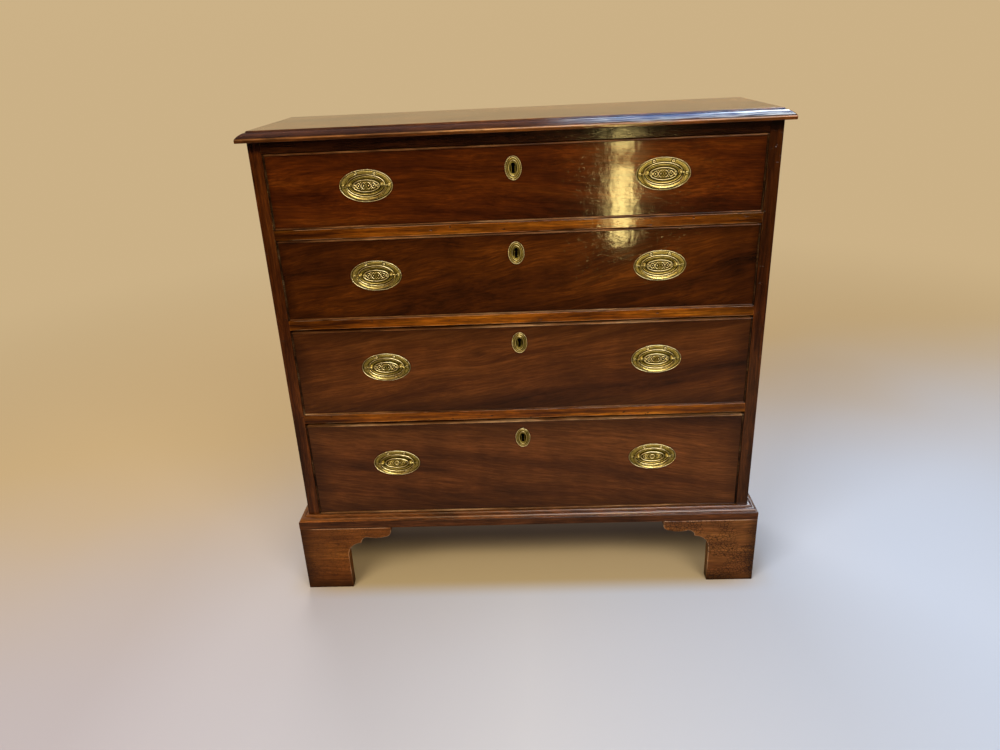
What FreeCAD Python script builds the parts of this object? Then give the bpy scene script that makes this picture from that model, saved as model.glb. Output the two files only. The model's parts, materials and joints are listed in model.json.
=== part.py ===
import FreeCAD, Part
import math
import os
import re
import Sketcher
from FreeCAD import Placement, Rotation, Vector

# A bachelor's chest of four graduated drawers on bracket feet. Millimetres, +Z up, the front faces -Y.
# The origin is the centre of the footprint, on the floor.

SIZES = {
    # carcase
    "case_width": 880,
    "case_depth": 275,
    "side_board": 22,
    "floor_board": 20,
    "back_board": 10,
    "back_board_gap": 0.6,
    "housing": 8,
    "top_board": 18,
    "top_overhang": 15.5,
    "top_moulding_width": 16.5,
    "top_quirk": 2.2,
    "top_thumb_radius": 25,
    "top_nose": 6,
    "top_arris": 1.5,
    "top_rail_height": 19,
    "back_rail_depth": 40,
    # rails, runners and panels between the drawers
    "rail_height": 18,
    "rail_depth": 60,
    "rail_core_height": 10,
    "rail_core_inset": 12,
    "runner_width": 22,
    "dust_board": 6,
    "dust_groove": 5,
    "stop_height": 6,
    "stop_width": 40,
    "stop_depth": 12,
    "stop_spacing": 600,
    # base
    "base_out": 18,
    "base_sole": 5.5,
    "base_under": 42,
    "base_rail_height": 16,
    "base_arris": 1.2,
    "moulding_height": 9,
    "moulding_out": 16.8,
    "foot_height": 145,
    "foot_board": 22,
    "foot_block": 36,
    "front_leg": 93,
    "front_bracket": 185,
    "front_low_cove": 29,
    "side_leg": 66,
    "side_bracket": 130,
    "side_low_cove": 18,
    "back_bracket": 110,
    "high_cove": 13.5,
    "ear_height": 22.5,
    "ear_round": 14,
    "ear_belly": 60,
    # drawers, numbered from the top
    "drawer_1_height": 127,
    "drawer_2_height": 145.5,
    "drawer_3_height": 168.5,
    "drawer_4_height": 198.2,
    "drawer_1_headroom": 1.5,
    "drawer_2_headroom": 1.2,
    "drawer_3_headroom": 3.7,
    "drawer_4_headroom": 4.7,
    "drawer_footroom": 0.8,
    "box_footroom": 0.3,
    "drawer_side_gap": 1,
    "drawer_length": 252,
    "front_board": 20,
    "front_lap": 9,
    "box_board": 8,
    "box_drop": 5,
    "bottom_board": 6,
    "bottom_lift": 10,
    "bottom_groove": 4,
    "bead_height": 3,
    "bead_depth": 9,
    "bead_proud": 2.2,
    # locks and escutcheons
    "lock_width": 64,
    "lock_height": 54,
    "lock_depth": 11,
    "bolt_width": 24,
    "bolt_depth": 6.4,
    "bolt_height": 18,
    "bolt_sink": 0.5,
    "bolt_play": 0.3,
    "bolt_mortise": 10,
    "talon_width": 8,
    "talon_height": 6,
    "keyhole_radius": 3.7,
    "keyhole_slot": 5,
    "keyhole_length": 18,
    "keyhole_depth": 16,
    "escutcheon_width": 28.5,
    "escutcheon_height": 40.3,
    "escutcheon_round": 11,
    "escutcheon_board": 1.2,
    "escutcheon_rim": 2,
    "escutcheon_rim_out": 2.4,
    "escutcheon_eye_width": 16,
    "escutcheon_eye_height": 26.6,
    "escutcheon_eye_round": 6.5,
    "keyhole_1_drop": 38.2,
    "keyhole_2_drop": 35,
    "keyhole_3_drop": 33.5,
    "keyhole_4_drop": 36.5,
    # handles
    "handle_spacing": 497,
    "handle_1_drop": 57.4,
    "handle_2_drop": 66.5,
    "handle_3_drop": 73.8,
    "handle_4_drop": 85.2,
    "plate_width": 91,
    "plate_height": 54.5,
    "plate_round": 18,
    "plate_board": 1.1,
    "plate_rim": 2.2,
    "plate_rim_out": 2.4,
    "plate_ring_width": 66,
    "plate_ring_height": 37,
    "plate_ring_round": 13.5,
    "plate_ring": 1.6,
    "plate_ring_out": 2.2,
    "boss_width": 43,
    "boss_height": 20,
    "boss_round": 7,
    "boss_out": 3.4,
    "post_spacing": 55,
    "post_radius": 2.5,
    "post_hole": 2.6,
    "post_collar": 3.6,
    "post_collar_out": 2,
    "post_neck": 2,
    "post_ball": 3,
    "post_tail": 27,
    "nut_width": 10,
    "nut_height": 3,
    "pivot_out": 5.6,
    "pivot_lift": 2,
    "pivot_hole": 1.15,
    "pin_radius": 1.1,
    "pin_length": 6.6,
    "bail_wire": 1.6,
    "bail_width": 67,
    "bail_drop": 24,
    "bail_elbow": 2.5,
    "bail_round": 12,
}
DRAWERS = (1, 2, 3, 4)

doc = FreeCAD.newDocument("bachelors_chest")
sheet = doc.addObject("Spreadsheet::Sheet", "sizes")
for row, (alias, number) in enumerate(SIZES.items(), start=1):
    sheet.set(f"A{row}", alias)
    sheet.set(f"B{row}", str(number))
    sheet.setAlias(f"B{row}", alias)
doc.recompute()

nodes = {}


# ---- expressions ----

def bound(text):
    """Write an expression with the sheet's name before each size, so 'case_width / 2' reads the sheet."""
    return re.sub(r"[a-z]\w*", lambda word: f"sizes.{word[0]}" if word[0] in SIZES else word[0], text)


def value(text):
    """Work out an expression's number now."""
    number = sheet.evalExpression(bound(text))
    return float(getattr(number, "Value", number))


def place(thing, x="0", y="0", z="0", rotation=None):
    """Put an object at a place given by three expressions."""
    if rotation is not None:
        thing.Placement = Placement(Vector(), rotation)
    for axis, text in zip("xyz", (x, y, z)):
        thing.setExpression(f"Placement.Base.{axis}", bound(text))
    return thing


# The front plane of the case, the inside of its sides and the levels of the carcase, as expressions.
FRONT = "(base_out - case_depth) / 2"
BACK = f"{FRONT} + case_depth"
INSIDE = "(case_width / 2 - side_board)"
CASE_BOTTOM = "foot_height + base_sole"
FLOOR_TOP = f"{CASE_BOTTOM} + floor_board"
PANEL_BACK = f"{BACK} - back_board - 2"
DRAWER_HALF = "(case_width / 2 - side_board - drawer_side_gap)"
LIE_ALONG_Y = Rotation(Vector(1, 0, 0), -90)
LIE_ALONG_X = Rotation(Vector(0, 1, 0), 90)


def opening_bottom(number):
    """The level of the floor or rail that a drawer slides on."""
    if number == 4:
        return FLOOR_TOP
    return f"{opening_top(number + 1)} + rail_height"


def opening_top(number):
    return (
        f"{opening_bottom(number)} + drawer_footroom"
        f" + drawer_{number}_height + drawer_{number}_headroom"
    )


def drawer_bottom(number):
    return f"{opening_bottom(number)} + drawer_footroom"


def drawer_top(number):
    return f"{drawer_bottom(number)} + drawer_{number}_height"


CASE_TOP = f"{opening_top(1)} + top_rail_height"


# ---- solids ----

def box(name, x, y, z):
    """A board given by its low and high limits along each axis."""
    board = doc.addObject("Part::Box", name)
    for side, limits in zip(("Length", "Width", "Height"), (x, y, z)):
        board.setExpression(side, bound(f"({limits[1]}) - ({limits[0]})"))
    return place(board, x[0], y[0], z[0])


def rod(name, radius, length, x, y, z, rotation):
    bar = doc.addObject("Part::Cylinder", name)
    bar.setExpression("Radius", bound(radius))
    bar.setExpression("Height", bound(length))
    return place(bar, x, y, z, rotation)


def fuse(name, *pieces):
    joined = doc.addObject("Part::MultiFuse", name)
    joined.Shapes = list(pieces)
    return joined


def cut(name, base, *tools):
    pared = doc.addObject("Part::Cut", name)
    pared.Base = base
    pared.Tool = tools[0] if len(tools) == 1 else fuse(f"{name}_tools", *tools)
    return pared


def mirror(name, source, normal=Vector(1, 0, 0), at_x="0"):
    twin = doc.addObject("Part::Mirroring", name)
    twin.Source = source
    twin.Normal = normal
    twin.setExpression("Base.x", bound(at_x))
    return twin


def group(name, *pieces):
    """Several separate solids of one node."""
    together = doc.addObject("Part::Compound", name)
    together.Links = list(pieces)
    return together


def node(thing):
    nodes[thing.Label] = thing
    return thing


# ---- sketches and features ----

def sketch_on(body, role, name):
    plane = next(feature for feature in body.Origin.OriginFeatures if feature.Role == role)
    sketch = body.newObject("Sketcher::SketchObject", name)
    sketch.AttachmentSupport = [(plane, "")]
    sketch.MapMode = "FlatFace"
    return sketch


def arc_between(start, end, radius, side):
    """An arc whose centre lies left (side 1) or right (side -1) of the way from start to end."""
    chord = end - start
    middle = (start + end) * 0.5
    across = Vector(-chord.y, chord.x, 0).normalize() * side
    centre = middle + across * math.sqrt(max(radius ** 2 - (chord.Length / 2) ** 2, 0))
    circle = Part.Circle(centre, Vector(0, 0, 1), radius)
    angles = [math.atan2(point.y - centre.y, point.x - centre.x) for point in (start, end)]
    if side < 0:
        angles.reverse()
    return Part.ArcOfCircle(circle, *angles)


def draw(sketch, points, arcs=None, closed=True):
    """Draw an outline through points given as expressions. arcs maps a stretch to (radius, side of its centre)."""
    arcs = arcs or {}
    first = sketch.GeometryCount
    places = [Vector(value(x), value(y), 0) for x, y in points]
    count = len(points) if closed else len(points) - 1
    for index in range(count):
        start, end = places[index], places[(index + 1) % len(points)]
        if index in arcs:
            radius, side = arcs[index]
            sketch.addGeometry(arc_between(start, end, value(radius), side), False)
        else:
            sketch.addGeometry(Part.LineSegment(start, end), False)

    def vertex(index, at_start):
        turned = index in arcs and arcs[index][1] < 0
        return 1 if at_start != turned else 2

    joints = range(count) if closed else range(count - 1)
    for index in joints:
        following = (index + 1) % count
        sketch.addConstraint(Sketcher.Constraint(
            "Coincident", first + index, vertex(index, False), first + following, vertex(following, True)))
    for index, point in enumerate(points):
        stretch, corner = (index, vertex(index, True)) if index < count else (index - 1, vertex(index - 1, False))
        for kind, text, axis in zip(("DistanceX", "DistanceY"), point, (-2, -1)):
            if abs(value(text)) < 1e-9:
                sketch.addConstraint(Sketcher.Constraint("PointOnObject", first + stretch, corner, axis))
            else:
                bind(sketch, Sketcher.Constraint(kind, -1, 1, first + stretch, corner, value(text)), text)
    for index, (radius, _) in arcs.items():
        bind(sketch, Sketcher.Constraint("Radius", first + index, value(radius)), radius)
    return sketch


def bind(sketch, constraint, text):
    number = sketch.addConstraint(constraint)
    sketch.setExpression(f"Constraints[{number}]", bound(text))


def draw_circle(sketch, x, y, radius):
    circle = sketch.addGeometry(Part.Circle(Vector(value(x), value(y), 0), Vector(0, 0, 1), value(radius)), False)
    for kind, text, axis in (("DistanceX", x, -2), ("DistanceY", y, -1)):
        if abs(value(text)) < 1e-9:
            sketch.addConstraint(Sketcher.Constraint("PointOnObject", circle, 3, axis))
        else:
            bind(sketch, Sketcher.Constraint(kind, -1, 1, circle, 3, value(text)), text)
    bind(sketch, Sketcher.Constraint("Radius", circle, value(radius)), radius)


def draw_oval(sketch, width, height, end_radius, inset="0"):
    """A four-centred oval, pulled in all round by inset."""
    a, b, r = f"({width} / 2 - {inset})", f"({height} / 2 - {inset})", f"({end_radius} - {inset})"
    flat = f"(({a} ^ 2 + {b} ^ 2 - 2 * {a} * {r}) / (2 * ({b} - {r})))"
    x = f"({a} - {r}) * {flat} / ({flat} - {r})"
    y = f"{r} * ({flat} - {b}) / ({flat} - {r})"
    corners = [(x, f"-({y})"), (x, y), (f"-({x})", y), (f"-({x})", f"-({y})")]
    return draw(sketch, corners, {0: (r, 1), 1: (flat, 1), 2: (r, 1), 3: (flat, 1)})


def pad(body, sketch, length, reverse=False, both_ways=False):
    feature = body.newObject("PartDesign::Pad", f"{sketch.Name}_pad")
    feature.Profile = sketch
    feature.Reversed = reverse
    feature.Midplane = both_ways
    feature.setExpression("Length", bound(length))
    return feature


def pocket_through(body, sketch):
    """Cut a sketch's outline right through the body, both ways from its plane."""
    doc.recompute()
    before = body.Shape.Volume
    feature = body.newObject("PartDesign::Pocket", f"{sketch.Name}_pocket")
    feature.Profile = sketch
    feature.Type = "ThroughAll"
    feature.Midplane = True
    doc.recompute()
    if body.Shape.Volume >= before:
        raise RuntimeError(f"{feature.Name} cuts nothing")
    return feature


def mitred_strip(name, section, arcs, face, depth, length, plane, far_mitre):
    """A strip along X from 0 to length, its near end (and its far end) cut at 45 degrees back from its outer face."""
    body = doc.addObject("PartDesign::Body", name)
    pad(body, draw(sketch_on(body, "YZ_Plane", f"{name}_section"), section, arcs), length)
    spare = "2"
    reach = f"({face} + {depth} + {spare})"
    ends = [("0", "")]
    if far_mitre:
        ends.append((f"{length}", "-"))
    for number, (end, back) in enumerate(ends):
        sketch = sketch_on(body, plane, f"{name}_mitre_{number}")
        outside = f"{end} {'+' if back else '-'} {spare}"
        inner = f"{end} {'-' if back else '+'} ({depth} + {spare})"
        draw(sketch, [(end, face), (inner, reach), (outside, reach), (outside, face)])
        pocket_through(body, sketch)
    return body


# ---- the top ----

def make_top():
    body = doc.addObject("PartDesign::Body", "top")
    nose = "top_overhang"
    moulding = [
        ("top_moulding_width", "top_board"),
        ("top_moulding_width", "top_board - top_quirk"),
        ("0", "top_nose"),
    ]
    section = [("case_depth", "0"), ("case_depth", "top_board")]
    section += [(f"{inward} - {nose}", level) for inward, level in moulding]
    section += [(f"-{nose}", "top_arris"), (f"top_arris - {nose}", "0")]
    arcs = {3: ("top_thumb_radius", 1), 5: ("top_arris", 1)}
    slab = draw(sketch_on(body, "YZ_Plane", "top_section"), section, arcs)
    pad(body, slab, f"case_width + 2 * {nose}", both_ways=True)
    edge = f"case_width / 2 + {nose}"
    spare = "5"
    waste = [(f"{edge} - {inward}", level) for inward, level in moulding]
    waste += [(f"{edge} + {spare}", "top_nose"), (f"{edge} + {spare}", f"top_board + {spare}")]
    waste += [(f"{edge} - top_moulding_width", f"top_board + {spare}")]
    ends = sketch_on(body, "XZ_Plane", "top_ends")
    draw(ends, waste, {1: ("top_thumb_radius", -1)})
    pared = pocket_through(body, ends)
    other_end = body.newObject("PartDesign::Mirrored", "top_other_end")
    other_end.Originals = [pared]
    middle = next(feature for feature in body.Origin.OriginFeatures if feature.Role == "YZ_Plane")
    other_end.MirrorPlane = (middle, [""])
    body.Tip = other_end
    return node(place(body, "0", FRONT, CASE_TOP))


# ---- the carcase ----

def rail_with_core(name, y, z):
    """A rail between the sides, and the thinner core of it that enters their housings."""
    rail = box(f"{name}_rail", (f"-{INSIDE}", INSIDE), y, z)
    middle = f"(({z[0]} + {z[1]}) / 2)"
    core = box(
        f"{name}_core",
        (f"-{INSIDE} - housing", f"{INSIDE} + housing"),
        (f"{y[0]} + rail_core_inset", f"{y[1]} - 4"),
        (f"{middle} - rail_core_height / 2", f"{middle} + rail_core_height / 2"),
    )
    return fuse(f"{name}_whole", rail, core), core


def bolt_mortise(name, number):
    """The pocket over a drawer that its lock's bolt rises into."""
    half_width = "(bolt_width / 2 + 2)"
    middle = f"({bolt_middle()})"
    half_depth = "(bolt_depth / 2 + 1.5)"
    top = opening_top(number)
    return box(
        name,
        (f"-{half_width}", half_width),
        (f"{middle} - {half_depth}", f"{middle} + {half_depth}"),
        (f"{top} - 1", f"{top} + bolt_mortise"),
    )


def bolt_middle():
    return f"{FRONT} + front_board - lock_depth / 2"


def make_carcase():
    cores = []
    back = f"{BACK} - back_board"
    front_rail, core = rail_with_core(
        "top_front", (FRONT, f"{FRONT} + rail_depth"), (opening_top(1), CASE_TOP))
    cores.append(core)
    back_rail, core = rail_with_core(
        "top_back", (f"{back} - back_rail_depth", back), (opening_top(1), CASE_TOP))
    cores.append(core)
    front_rail = cut("top_front", front_rail, bolt_mortise("top_mortise", 1))
    node(group("top_rails", front_rail, back_rail))

    rails, runners, panels = [], [], []
    for number in (2, 3, 4):
        level = (opening_top(number), f"{opening_top(number)} + rail_height")
        middle = f"(({level[0]} + {level[1]}) / 2)"
        panel = box(
            f"dust_board_{number}",
            (f"runner_width - dust_groove - {INSIDE}", f"{INSIDE} - runner_width + dust_groove"),
            (f"{FRONT} + rail_depth - dust_groove", PANEL_BACK),
            (f"{middle} - dust_board / 2", f"{middle} + dust_board / 2"),
        )
        panels.append(panel)
        whole, core = rail_with_core(f"rail_{number}", (FRONT, f"{FRONT} + rail_depth"), level)
        cores.append(core)
        rails.append(cut(f"rail_{number}", whole, panel, bolt_mortise(f"mortise_{number}", number)))
        blank = box(
            f"runner_{number}_blank",
            (f"-{INSIDE}", f"runner_width - {INSIDE}"),
            (f"{FRONT} + rail_depth", PANEL_BACK),
            level,
        )
        runner = cut(f"runner_{number}", blank, panel)
        runners += [runner, mirror(f"runner_{number}_right", runner)]
    kicker = box(
        "kicker",
        (f"-{INSIDE}", f"runner_width - {INSIDE}"),
        (f"{FRONT} + rail_depth", f"{back} - back_rail_depth"),
        (opening_top(1), CASE_TOP),
    )
    runners += [kicker, mirror("kicker_right", kicker)]
    node(group("drawer_rails", *rails))
    node(group("drawer_runners", *runners))
    node(group("dust_boards", *panels))

    floor = box("floor_blank", (f"-{INSIDE}", INSIDE), (FRONT, back), (CASE_BOTTOM, FLOOR_TOP))
    floor_core = box(
        "floor_core",
        (f"-{INSIDE} - housing", f"{INSIDE} + housing"),
        (f"{FRONT} + rail_core_inset", f"{back} - 4"),
        (f"{CASE_BOTTOM} + 5", f"{FLOOR_TOP} - 5"),
    )
    cores.append(floor_core)
    node(fuse("carcase_bottom", floor, floor_core))

    rebate = box("rebate", (f"-{INSIDE} - back_board", f"-{INSIDE}"), (back, BACK), (CASE_BOTTOM, CASE_TOP))
    side = box(
        "side_blank", ("-case_width / 2", f"-{INSIDE}"), (FRONT, BACK), (CASE_BOTTOM, CASE_TOP))
    side_left = node(cut("side_left", side, rebate, *cores))
    node(mirror("side_right", side_left))

    boards = 5
    span = f"(2 * ({INSIDE} + back_board))"
    pitch = f"({span} + back_board_gap) / {boards}"
    low = f"-{INSIDE} - back_board"
    node(group("back_boards", *[
        box(
            f"back_board_{index + 1}",
            (f"{low} + {index} * {pitch}", f"{low} + {index + 1} * {pitch} - back_board_gap"),
            (back, BACK),
            (CASE_BOTTOM, CASE_TOP),
        )
        for index in range(boards)
    ]))

    stops = []
    for number in DRAWERS:
        level = opening_bottom(number)
        stop = box(
            f"stop_{number}",
            ("-stop_spacing / 2 - stop_width / 2", "stop_width / 2 - stop_spacing / 2"),
            (f"{FRONT} + front_board + 0.5", f"{FRONT} + front_board + 0.5 + stop_depth"),
            (level, f"{level} + stop_height"),
        )
        stops += [stop, mirror(f"stop_{number}_right", stop)]
    node(group("drawer_stops", *stops))


# ---- the base ----

def strips_round_base(name, section, arcs, depth, level):
    """Three strips round the front and the sides, mitred at the front corners."""
    corner = "case_width / 2 + base_out"
    face = "-base_out"
    front = mitred_strip(
        f"{name}_front", section, arcs, face, depth, "case_width + 2 * base_out", "XY_Plane", True)
    place(front, f"-({corner})", FRONT, level)
    right = mitred_strip(
        f"{name}_right", section, arcs, face, depth, "case_depth + base_out", "XY_Plane", False)
    place(right, "case_width / 2", f"{FRONT} - base_out", level, Rotation(Vector(0, 0, 1), 90))
    return node(group(name, front, right, mirror(f"{name}_left", right)))


def make_base():
    rail = [
        ("-base_out", "0"),
        ("base_under", "0"),
        ("base_under", "base_sole"),
        ("0", "base_sole"),
        ("0", "base_rail_height"),
        ("base_arris - base_out", "base_rail_height"),
        ("-base_out", "base_rail_height - base_arris"),
    ]
    strips_round_base("base_rails", rail, {5: ("base_arris", 1)}, "base_out + base_under", "foot_height")

    # A bead under the case, a step, a round and a fillet.
    bead = "2.5"
    moulding = [
        ("-moulding_out", "0"),
        ("0", "0"),
        ("0", "moulding_height"),
        ("-3", "moulding_height"),
        (f"-3 - {bead}", f"moulding_height - {bead}"),
        (f"-3 - {bead}", "moulding_height - 3.5"),
        ("-7", "moulding_height - 3.5"),
        ("2.3 - moulding_out", "1.6"),
        ("2.3 - moulding_out", "0.8"),
        ("-moulding_out", "0.8"),
    ]
    arcs = {3: (bead, 1), 6: ("5", 1)}
    strips_round_base("base_mouldings", moulding, arcs, "base_out", "foot_height + base_rail_height")


def bracket(name, leg, length, low_cove, flip):
    """A shaped foot board along +X, its outer face at y = 0 and its thickness on +Y, or on -Y when flipped."""
    body = doc.addObject("PartDesign::Body", name)
    ear = "foot_height - ear_height"
    outline = [
        ("0", "0"),
        (leg, "0"),
        (leg, f"{ear} - high_cove - {low_cove}"),
        (f"{leg} + {low_cove}", f"{ear} - high_cove"),
        (f"{leg} + {low_cove} + high_cove", ear),
        (f"{length} - ear_round", ear),
        (length, f"{ear} + ear_round"),
        (length, "foot_height"),
        ("0", "foot_height"),
    ]
    arcs = {2: (low_cove, -1), 3: ("high_cove", -1), 4: ("ear_belly", 1), 5: ("ear_round", 1)}
    face = draw(sketch_on(body, "XZ_Plane", f"{name}_outline"), outline, arcs)
    pad(body, face, "foot_board", reverse=not flip)
    mitre_foot(body, name, flip)
    return body


def mitre_foot(body, name, flip):
    sign = "-" if flip else ""
    spare = "(foot_board + 2)"
    sketch = sketch_on(body, "XY_Plane", f"{name}_mitre")
    draw(sketch, [("0", "0"), (spare, f"{sign}{spare}"), ("-2", f"{sign}{spare}"), ("-2", "0")])
    pocket_through(body, sketch)


def back_bracket(name):
    """The plain board at the back of a rear foot, cut off on a slope."""
    body = doc.addObject("PartDesign::Body", name)
    outline = [
        ("0", "0"),
        ("side_leg", "0"),
        ("back_bracket", "foot_height - ear_height"),
        ("back_bracket", "foot_height"),
        ("0", "foot_height"),
    ]
    face = draw(sketch_on(body, "XZ_Plane", f"{name}_outline"), outline)
    pad(body, face, "foot_board", reverse=False)
    mitre_foot(body, name, True)
    return body


def make_feet():
    corner_x = "-case_width / 2 - base_out"
    corner_y = f"{FRONT} - base_out"
    front = place(bracket("foot_face", "front_leg", "front_bracket", "front_low_cove", False), corner_x, corner_y)
    size = ("side_leg", "side_bracket", "side_low_cove")
    side = place(bracket("foot_side", *size, True), corner_x, corner_y, "0", Rotation(Vector(0, 0, 1), 90))
    foot_left = node(group("foot_front_left", front, side))
    node(mirror("foot_front_right", foot_left))
    rear_side = place(bracket("foot_rear_side", *size, False), corner_x, BACK, "0", Rotation(Vector(0, 0, 1), -90))
    rear = place(back_bracket("foot_rear_back"), corner_x, BACK)
    node(group("feet_back", rear_side, rear, mirror("foot_rear_side_right", rear_side), mirror("foot_rear_right", rear)))

    inside_x = f"{corner_x} + foot_board"
    blocks = []
    for end, low in (("front", f"{corner_y} + foot_board"), ("rear", f"{BACK} - foot_board - foot_block")):
        block = box(
            f"block_{end}",
            (inside_x, f"{inside_x} + foot_block"),
            (low, f"{low} + foot_block"),
            ("4", "foot_height"),
        )
        blocks += [block, mirror(f"block_{end}_right", block)]
    node(group("foot_blocks", *blocks))


# ---- a drawer's woodwork ----

def bead_strip(name, length):
    """A cockbead along X with a full round nose, lying on z = 0, mitred at both ends."""
    half = "bead_height / 2"
    section = [
        ("bead_depth", "0"),
        ("bead_depth", "bead_height"),
        (f"{half} - bead_proud", "bead_height"),
        ("-bead_proud", half),
        (f"{half} - bead_proud", "0"),
    ]
    return mitred_strip(
        name, section, {2: (half, 1), 3: (half, 1)}, "0", "bead_height", length, "XZ_Plane", True)


def make_cockbead(number):
    height = f"drawer_{number}_height"
    width = f"2 * {DRAWER_HALF}"
    low, high = drawer_bottom(number), drawer_top(number)
    left, right = f"-{DRAWER_HALF}", DRAWER_HALF
    about_y = Vector(0, 1, 0)
    name = f"bead_{number}"
    node(group(
        f"drawer_{number}_cockbead",
        place(bead_strip(f"{name}_bottom", width), left, FRONT, low),
        place(bead_strip(f"{name}_top", width), right, FRONT, high, Rotation(about_y, 180)),
        place(bead_strip(f"{name}_left", height), left, FRONT, high, Rotation(about_y, 90)),
        place(bead_strip(f"{name}_right", height), right, FRONT, low, Rotation(about_y, -90)),
    ))


def tail(name, x, y_wide, y_narrow, middle, half_wide, half_narrow):
    """One dovetail, wide at y_wide and narrow at y_narrow, across the board's thickness."""
    wedge = doc.addObject("Part::Wedge", name)
    low_y, high_y = sorted((y_wide, y_narrow), key=value)
    halves = (half_wide, half_narrow) if low_y == y_wide else (half_narrow, half_wide)
    limits = {
        "Xmin": "0", "Xmax": "box_board", "X2min": "0", "X2max": "box_board",
        "Ymin": "0", "Ymax": f"({high_y}) - ({low_y})",
        "Zmin": f"-{halves[0]}", "Zmax": halves[0], "Z2min": f"-{halves[1]}", "Z2max": halves[1],
    }
    wedge.Zmin, wedge.Zmax, wedge.Z2min, wedge.Z2max = -9, 9, -8, 8
    for side, text in limits.items():
        wedge.setExpression(side, bound(text))
    return place(wedge, x, low_y, middle)


def make_drawer_wood(number, keyhole, post_holes):
    name = f"drawer_{number}"
    low, high = drawer_bottom(number), drawer_top(number)
    box_low = f"{opening_bottom(number)} + box_footroom"
    box_high = f"{high} - box_drop"
    tails = 3 if number < 3 else 4
    front_back = f"{FRONT} + front_board"
    rear = f"{FRONT} + drawer_length"
    outer, inner = f"-{DRAWER_HALF}", f"box_board - {DRAWER_HALF}"
    bottom_low = f"{box_low} + bottom_lift"
    bottom_high = f"{bottom_low} + bottom_board"

    # The bottom board sits in a groove of the front and of each side, and passes under the back.
    slab = box(
        f"{name}_bottom_slab",
        (f"{inner} - bottom_groove", f"bottom_groove - ({inner})"),
        (front_back, rear),
        (bottom_low, bottom_high),
    )
    tongue = box(
        f"{name}_bottom_tongue",
        (inner, f"-({inner})"),
        (f"{front_back} - bottom_groove", front_back),
        (bottom_low, bottom_high),
    )
    bottom = node(fuse(f"{name}_bottom", slab, tongue))

    # Dovetails: lapped into the front, through the back.
    front_tails, back_tails = [], []
    pitch = f"(({box_high}) - ({box_low})) / {tails}"
    back_pitch = f"(({box_high}) - ({bottom_high})) / {tails}"
    for index in range(tails):
        middle = f"{box_low} + {index + 0.5} * {pitch}"
        front_tails.append(tail(
            f"{name}_front_tail_{index}", outer, f"{FRONT} + front_lap", front_back, middle,
            f"{pitch} * 0.4", f"{pitch} * 0.32"))
        middle = f"{bottom_high} + {index + 0.5} * {back_pitch}"
        back_tails.append(tail(
            f"{name}_back_tail_{index}", outer, rear, f"{rear} - box_board", middle,
            f"{back_pitch} * 0.4", f"{back_pitch} * 0.33"))
    side_blank = box(
        f"{name}_side_blank", (outer, inner), (front_back, f"{rear} - box_board"), (box_low, box_high))
    side_whole = fuse(f"{name}_side_whole", side_blank, *front_tails, *back_tails)
    side = cut(f"{name}_side_left", side_whole, slab)
    back_blank = box(
        f"{name}_back_blank", (outer, DRAWER_HALF), (f"{rear} - box_board", rear), (bottom_high, box_high))
    other_back_tails = [mirror(f"{piece.Name}_right", piece) for piece in back_tails]
    back = cut(f"{name}_back", back_blank, *back_tails, *other_back_tails)
    node(group(f"{name}_box", side, mirror(f"{name}_side_right", side), back))

    # The front: a rebate all round for the cockbead, sockets for the tails, and holes for lock and handles.
    face = box(
        f"{name}_face",
        (f"bead_height - {DRAWER_HALF}", f"{DRAWER_HALF} - bead_height"),
        (FRONT, f"{FRONT} + bead_depth"),
        (f"{low} + bead_height", f"{high} - bead_height"),
    )
    behind = box(
        f"{name}_behind", (outer, DRAWER_HALF), (f"{FRONT} + bead_depth", front_back), (low, high))
    recess = box(
        f"{name}_lock_recess",
        ("-lock_width / 2", "lock_width / 2"),
        (f"{front_back} - lock_depth", front_back),
        (f"{high} - lock_height", high),
    )
    sockets = front_tails + [mirror(f"{piece.Name}_right", piece) for piece in front_tails]
    node(cut(
        f"{name}_front", fuse(f"{name}_board", face, behind),
        recess, keyhole, bottom, *sockets, *post_holes))


# ---- lock and escutcheon ----

def make_keyhole(number):
    """The round and slot that a key passes through, from before the escutcheon into the lock."""
    centre = f"{drawer_top(number)} - keyhole_{number}_drop + keyhole_length / 2 - keyhole_radius"
    start, length = f"{FRONT} - 6", "keyhole_depth + 6"
    eye = rod(f"keyhole_{number}_eye", "keyhole_radius", length, "0", start, centre, LIE_ALONG_Y)
    slot = box(
        f"keyhole_{number}_slot",
        ("-keyhole_slot / 2", "keyhole_slot / 2"),
        (start, f"{start} + {length}"),
        (f"{centre} + keyhole_radius - keyhole_length", centre),
    )
    return fuse(f"keyhole_{number}", eye, slot)


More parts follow.
